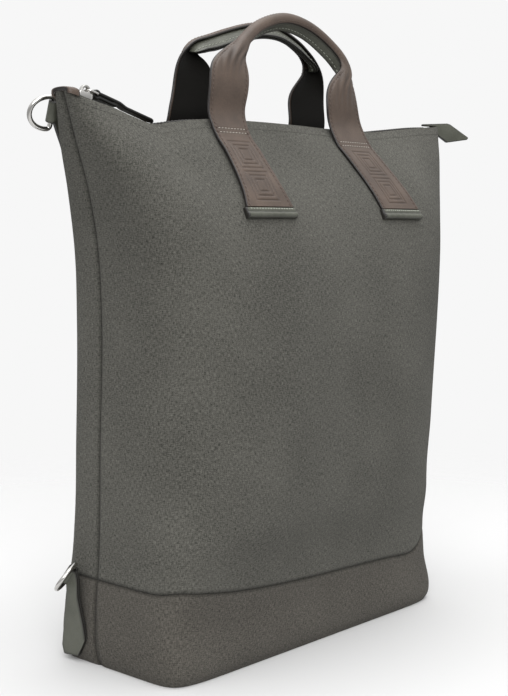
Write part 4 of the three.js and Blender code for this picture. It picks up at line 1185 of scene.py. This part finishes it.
# out, low and high along the bar, as shares of the tab's reach
TOP_TAB = np.array([
    [-0.63, -0.32, -0.32], [-0.55, -0.55, -0.26], [-0.46, -0.76, -0.19], [-0.32, -0.59, -0.083],
    [-0.21, -0.40, -0.006], [-0.12, -0.26, 0.056], [-0.04, -0.13, 0.12],
])
LOW_TAB = np.array([
    [-0.71, -0.71, -0.71], [-0.68, -0.74, -0.45], [-0.54, -0.88, -0.32], [-0.45, -0.81, -0.25],
    [-0.27, -0.49, -0.105], [-0.14, -0.24, 0.067], [-0.05, -0.13, 0.13],
])


def ring_line(width, depth, corner, count):
    """A D as points of a plane: a straight bar, two bends and a bow, at even steps."""
    half = width / 2
    bar = [(0.0, z) for z in np.linspace(corner - half, half - corner, 30)]

    def bend(start, middle, end):
        t = np.linspace(0, 1, 12)[1:-1, None]
        start, middle, end = (np.array(p, float) for p in (start, middle, end))
        return [tuple(p) for p in start * (1 - t) ** 2 + 2 * middle * t * (1 - t) + end * t * t]

    turn = np.linspace(pi / 2, -pi / 2, 60)
    bow = [(corner + (depth - corner) * cos(a), half * sin(a)) for a in turn]
    points = (
        bar + bend((0, half - corner), (0, half), (corner, half)) + bow
        + bend((corner, -half), (0, -half), (0, corner - half))
    )
    points = np.array(points)
    closed = np.concatenate([points, points[:1]])
    run = run_along(closed)
    at = np.linspace(0, run[-1], count + 1)[:-1]
    return np.stack([np.interp(at, run, closed[:, k]) for k in (0, 1)], -1)


def bar_place(centre, bar, out, mirror):
    """The place of a ring's bar: X points away from the bag and Z along the bar."""
    flip = np.array([mirror, 1.0, 1.0])
    z = unit(np.array(bar) * flip)
    x = np.array(out) * flip
    x = unit(x - z * (x @ z))
    matrix = np.eye(4)
    matrix[:3, 0], matrix[:3, 1], matrix[:3, 2] = x, np.cross(z, x), z
    matrix[:3, 3] = np.array(centre) * flip
    return matrix


ring_hole = RING_WIRE / 2 + RING_PLAY
fold_radius = ring_hole + TAB_LEATHER / 2
for place_name, centre, bar, out, tab, turn, slide in (
    ("top", (-194.8, 11.5, 389.5), (-0.07, -0.39, 0.92), (-0.99, 0, -0.08), TOP_TAB,
     TOP_RING_TURN, -RING_SLIDE),
    ("low", (-160.8, 42, 64.5), (0, -0.65, 0.76), (-0.1, 0.76, 0.65), LOW_TAB,
     LOW_RING_TURN, RING_SLIDE),
):
    for end, mirror in (("left", 1), ("right", -1)):
        if (place_name, end) == ("top", "right"):
            centre = (centre[0], centre[1] + RIGHT_TAB_SETBACK, centre[2])
        place = bar_place(centre, bar, out, mirror)
        name = f"{place_name}_{end}"
        ply = 0.5 * TAB_LEATHER + 0.03
        start = np.arcsin(ply / fold_radius)
        arc = np.linspace(pi - start, -(pi - start), 40)
        far = tab[0, 0] * TAB_REACH
        near = -fold_radius * cos(start)
        straight = np.linspace(far, near, 34)[:-1]
        path = np.concatenate([
            np.stack([straight, ply + 0 * straight], -1),
            np.stack([fold_radius * np.cos(arc), fold_radius * np.sin(arc)], -1),
            np.stack([straight[::-1], -ply + 0 * straight], -1),
        ])
        outs, lows, highs = tab.T * TAB_REACH
        half = TAB_FOLD_WIDTH / 2
        low = np.where(path[:, 0] > outs[-1], -half, np.interp(path[:, 0], outs, lows))
        high = np.where(path[:, 0] > outs[-1], half, np.interp(path[:, 0], outs, highs))
        folded_sheet(f"{name}_tab_leather", path, low, high, TAB_LEATHER, place, green_leather,
                     "green_leather", f"{name}_tab")
        swing = np.array(Matrix.Rotation(-mirror * turn, 4, "Z"))
        swing[2, 3] = slide
        line = ring_line(RING_WIDTH - RING_WIRE, RING_DEPTH - RING_WIRE, RING_CORNER, 110)
        wire_loop(f"{name}_ring_wire", line, RING_WIRE, place @ swing, f"{name}_ring",
                  f"{name}_ring_body")

# Slider: a cast body with a bridge, a wire link through the bridge, and a leather pull that
# is folded round the link with a doubled head and a long flat tail
SLIDER_X, SLIDER_HEIGHT, SLIDER_LIFT, SLIDER_REACH = -187.3, 4.6, 1.1, 0.03
LINK_WIRE, LINK_LENGTH, LINK_WIDTH, LINK_CORNER = 1.8, 8.0, 10.0, 1.6
BRIDGE_SEAT, PULL_SLOPE = 1.8, 0.268
PULL_LENGTH, PULL_WIDTH, PULL_HEAD, PULL_SLANT = 54.0, 7.5, 19.0, 9
dark_leather = leather_finish(
    "dark_leather", (0.022, 0.023, 0.018, 1), (0.080, 0.083, 0.066, 1), (0.008, 0.008, 0.007, 1)
)


def refined_copy(node, name, finish, bevel):
    """A copy of a CAD solid with its hard edges rounded, in its place."""
    shape = bmesh.new()
    shape.from_mesh(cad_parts[node].data)
    bmesh.ops.remove_doubles(shape, verts=shape.verts, dist=0.00002)
    bmesh.ops.dissolve_limit(
        shape, angle_limit=radians(3), verts=shape.verts, edges=shape.edges
    )
    hard = [e for e in shape.edges if len(e.link_faces) == 2 and e.calc_face_angle() > radians(38)]
    bmesh.ops.bevel(
        shape, geom=hard, offset=bevel * MM, offset_type="OFFSET", segments=3,
        profile=0.5, affect="EDGES", clamp_overlap=True,
    )
    mesh = bpy.data.meshes.new(name)
    shape.to_mesh(mesh)
    shape.free()
    return set_piece(name, mesh, finish, [node], sharp=42)


refined_copy("zip_slider", "zip_slider_body", chrome, 0.45)
slider_across = SLIDER_X / half_mouth
slider_rise = float(
    mouth_height(slider_across + SLIDER_REACH) - mouth_height(slider_across - SLIDER_REACH)
)
slider_slope = atan2(slider_rise, SLIDER_REACH * 2 * half_mouth)
slider_top = float(mouth_height(slider_across)) - TAPE_DROP - TAPE_THICKNESS
slider_top += TEETH_HEIGHT + SLIDER_LIFT
slider_place = (
    Matrix.Translation((SLIDER_X, ZIP_LINE_Y, slider_top)) @ Matrix.Rotation(-slider_slope, 4, "Y")
)
pull_place = (
    slider_place @ Matrix.Translation((0, 0, SLIDER_HEIGHT + BRIDGE_SEAT))
    @ Matrix.Rotation(slider_slope + PULL_SLOPE, 4, "Y")
)
half = LINK_WIDTH / 2
link_corners = ((0, half), (LINK_LENGTH, half), (LINK_LENGTH, -half), (0, -half))
link_line = []
for corner_number, (x, y) in enumerate(link_corners):
    centre_x = x + (LINK_CORNER if x == 0 else -LINK_CORNER)
    centre_y = y - LINK_CORNER if y > 0 else y + LINK_CORNER
    start = pi - corner_number * pi / 2
    for a in np.linspace(start, start - pi / 2, 10):
        link_line.append((centre_x + LINK_CORNER * cos(a), centre_y + LINK_CORNER * sin(a)))
flat = Matrix.Rotation(pi / 2, 4, "X")
wire_loop("zip_link_wire", np.array(link_line), LINK_WIRE, pull_place @ flat, "zip_link", sides=14)

pull_ply, ply_rise = 2.2, 1.4
pull_eye = LINK_WIRE / 2 + GAP + pull_ply / 2
lift_start = np.arcsin(ply_rise / pull_eye)
pull_arc = np.linspace(lift_start, 2 * pi - lift_start, 26)
tail = np.linspace(PULL_LENGTH, PULL_HEAD + PULL_SLANT, 22)
slant = np.linspace(PULL_HEAD + PULL_SLANT, PULL_HEAD, 10)[1:]
head_run = np.linspace(PULL_HEAD, pull_eye * cos(lift_start), 12)[1:-1]
ease = (1 - np.cos(np.linspace(0, pi, 10)[1:])) / 2
pull_path = np.concatenate([
    np.stack([tail, 0 * tail], -1),
    np.stack([slant, ply_rise * ease], -1),
    np.stack([head_run, ply_rise + 0 * head_run], -1),
    np.stack([pull_eye * np.cos(pull_arc), pull_eye * np.sin(pull_arc)], -1),
    np.stack([head_run[::-1], -ply_rise + 0 * head_run], -1),
])
pull_half = PULL_WIDTH / 2 * np.sqrt(np.clip((PULL_LENGTH + 0.6 - pull_path[:, 0]) / 4, 0, 1))
upright = Matrix.Translation((LINK_LENGTH, 0, 0)) @ Matrix.Rotation(pi / 2, 4, "X")
folded_sheet("zip_pull_leather", pull_path, -pull_half, pull_half, pull_ply,
             pull_place @ upright, dark_leather, "dark_leather", "zip_pull")

# Left end of the zip: a short brown leather strip folded over the tip of the ear, level on
# top, that comes down a little over the front and the back cloth
STRIP_CLEAR, STRIP_WALL, STRIP_HEAD, STRIP_OVERLAP = 0.5, 1.3, 2.4, 1.2
strip_level = float(mouth_height(-0.99))
strip_rows, strip_paint = [], []
for across, ease in zip(np.linspace(0.998, 0.962, 10), [0.6, 0.9, 1, 1, 1, 1, 1, 1, 0.9, 0.6]):
    at = np.array([-across * half_mouth])
    near, far = (bag_point(side, np.ones(1), way_at(side, 1.0, at))[0] for side in (FRONT, BACK))
    middle, reach = (near[1] + far[1]) / 2, (far[1] - near[1]) / 2
    row = []
    outer_head = strip_level - near[2] + STRIP_HEAD + STRIP_WALL * ease
    for out, head, order in ((STRIP_CLEAR + STRIP_WALL * ease, outer_head, 1),
                             (STRIP_CLEAR, STRIP_CLEAR, -1)):
        fall = [-STRIP_OVERLAP, -0.7, -0.2]
        bend = np.linspace(0, pi, 21)[1:-1]
        y = np.concatenate([[-1] * 3, -np.cos(bend), [1] * 3]) * (reach + out)
        z = np.concatenate([fall, -0.2 + (head + 0.2) * np.sin(bend) ** 0.45, fall[::-1]])
        x = -across * (half_mouth + out) + 0 * y
        row.append(np.stack([x, middle + y, near[2] + z], -1)[::order])
    strip_rows.append(np.concatenate(row))
    strip_paint.append(np.full(len(strip_rows[-1]), 1.0 if ease < 0.8 else 0.0))
strip_rows = np.array(strip_rows)
skin("zip_end_strip_leather", strip_rows, brown_leather, "brown_leather", ["zip_end_strip"],
     (strip_rows[..., 0], strip_rows[..., 1]), sharp=60, edge=np.array(strip_paint),
     pressed=np.zeros(strip_rows.shape[:2]))

# Right end of the zip: a green tab that is folded over a ridge, points outward and down, and
# has its cut edges painted dark
BROAD_FACE = 1e-4
end_tab = refined_copy("zip_end_tab", "zip_end_tab_leather", green_leather, 0.9)
end_tab_paint = end_tab.data.attributes.new("edge", "FLOAT", "POINT")
painted = np.ones(len(end_tab.data.vertices))
for face in end_tab.data.polygons:
    if face.area > BROAD_FACE:
        painted[list(face.vertices)] = 0
end_tab_paint.data.foreach_set("value", painted)
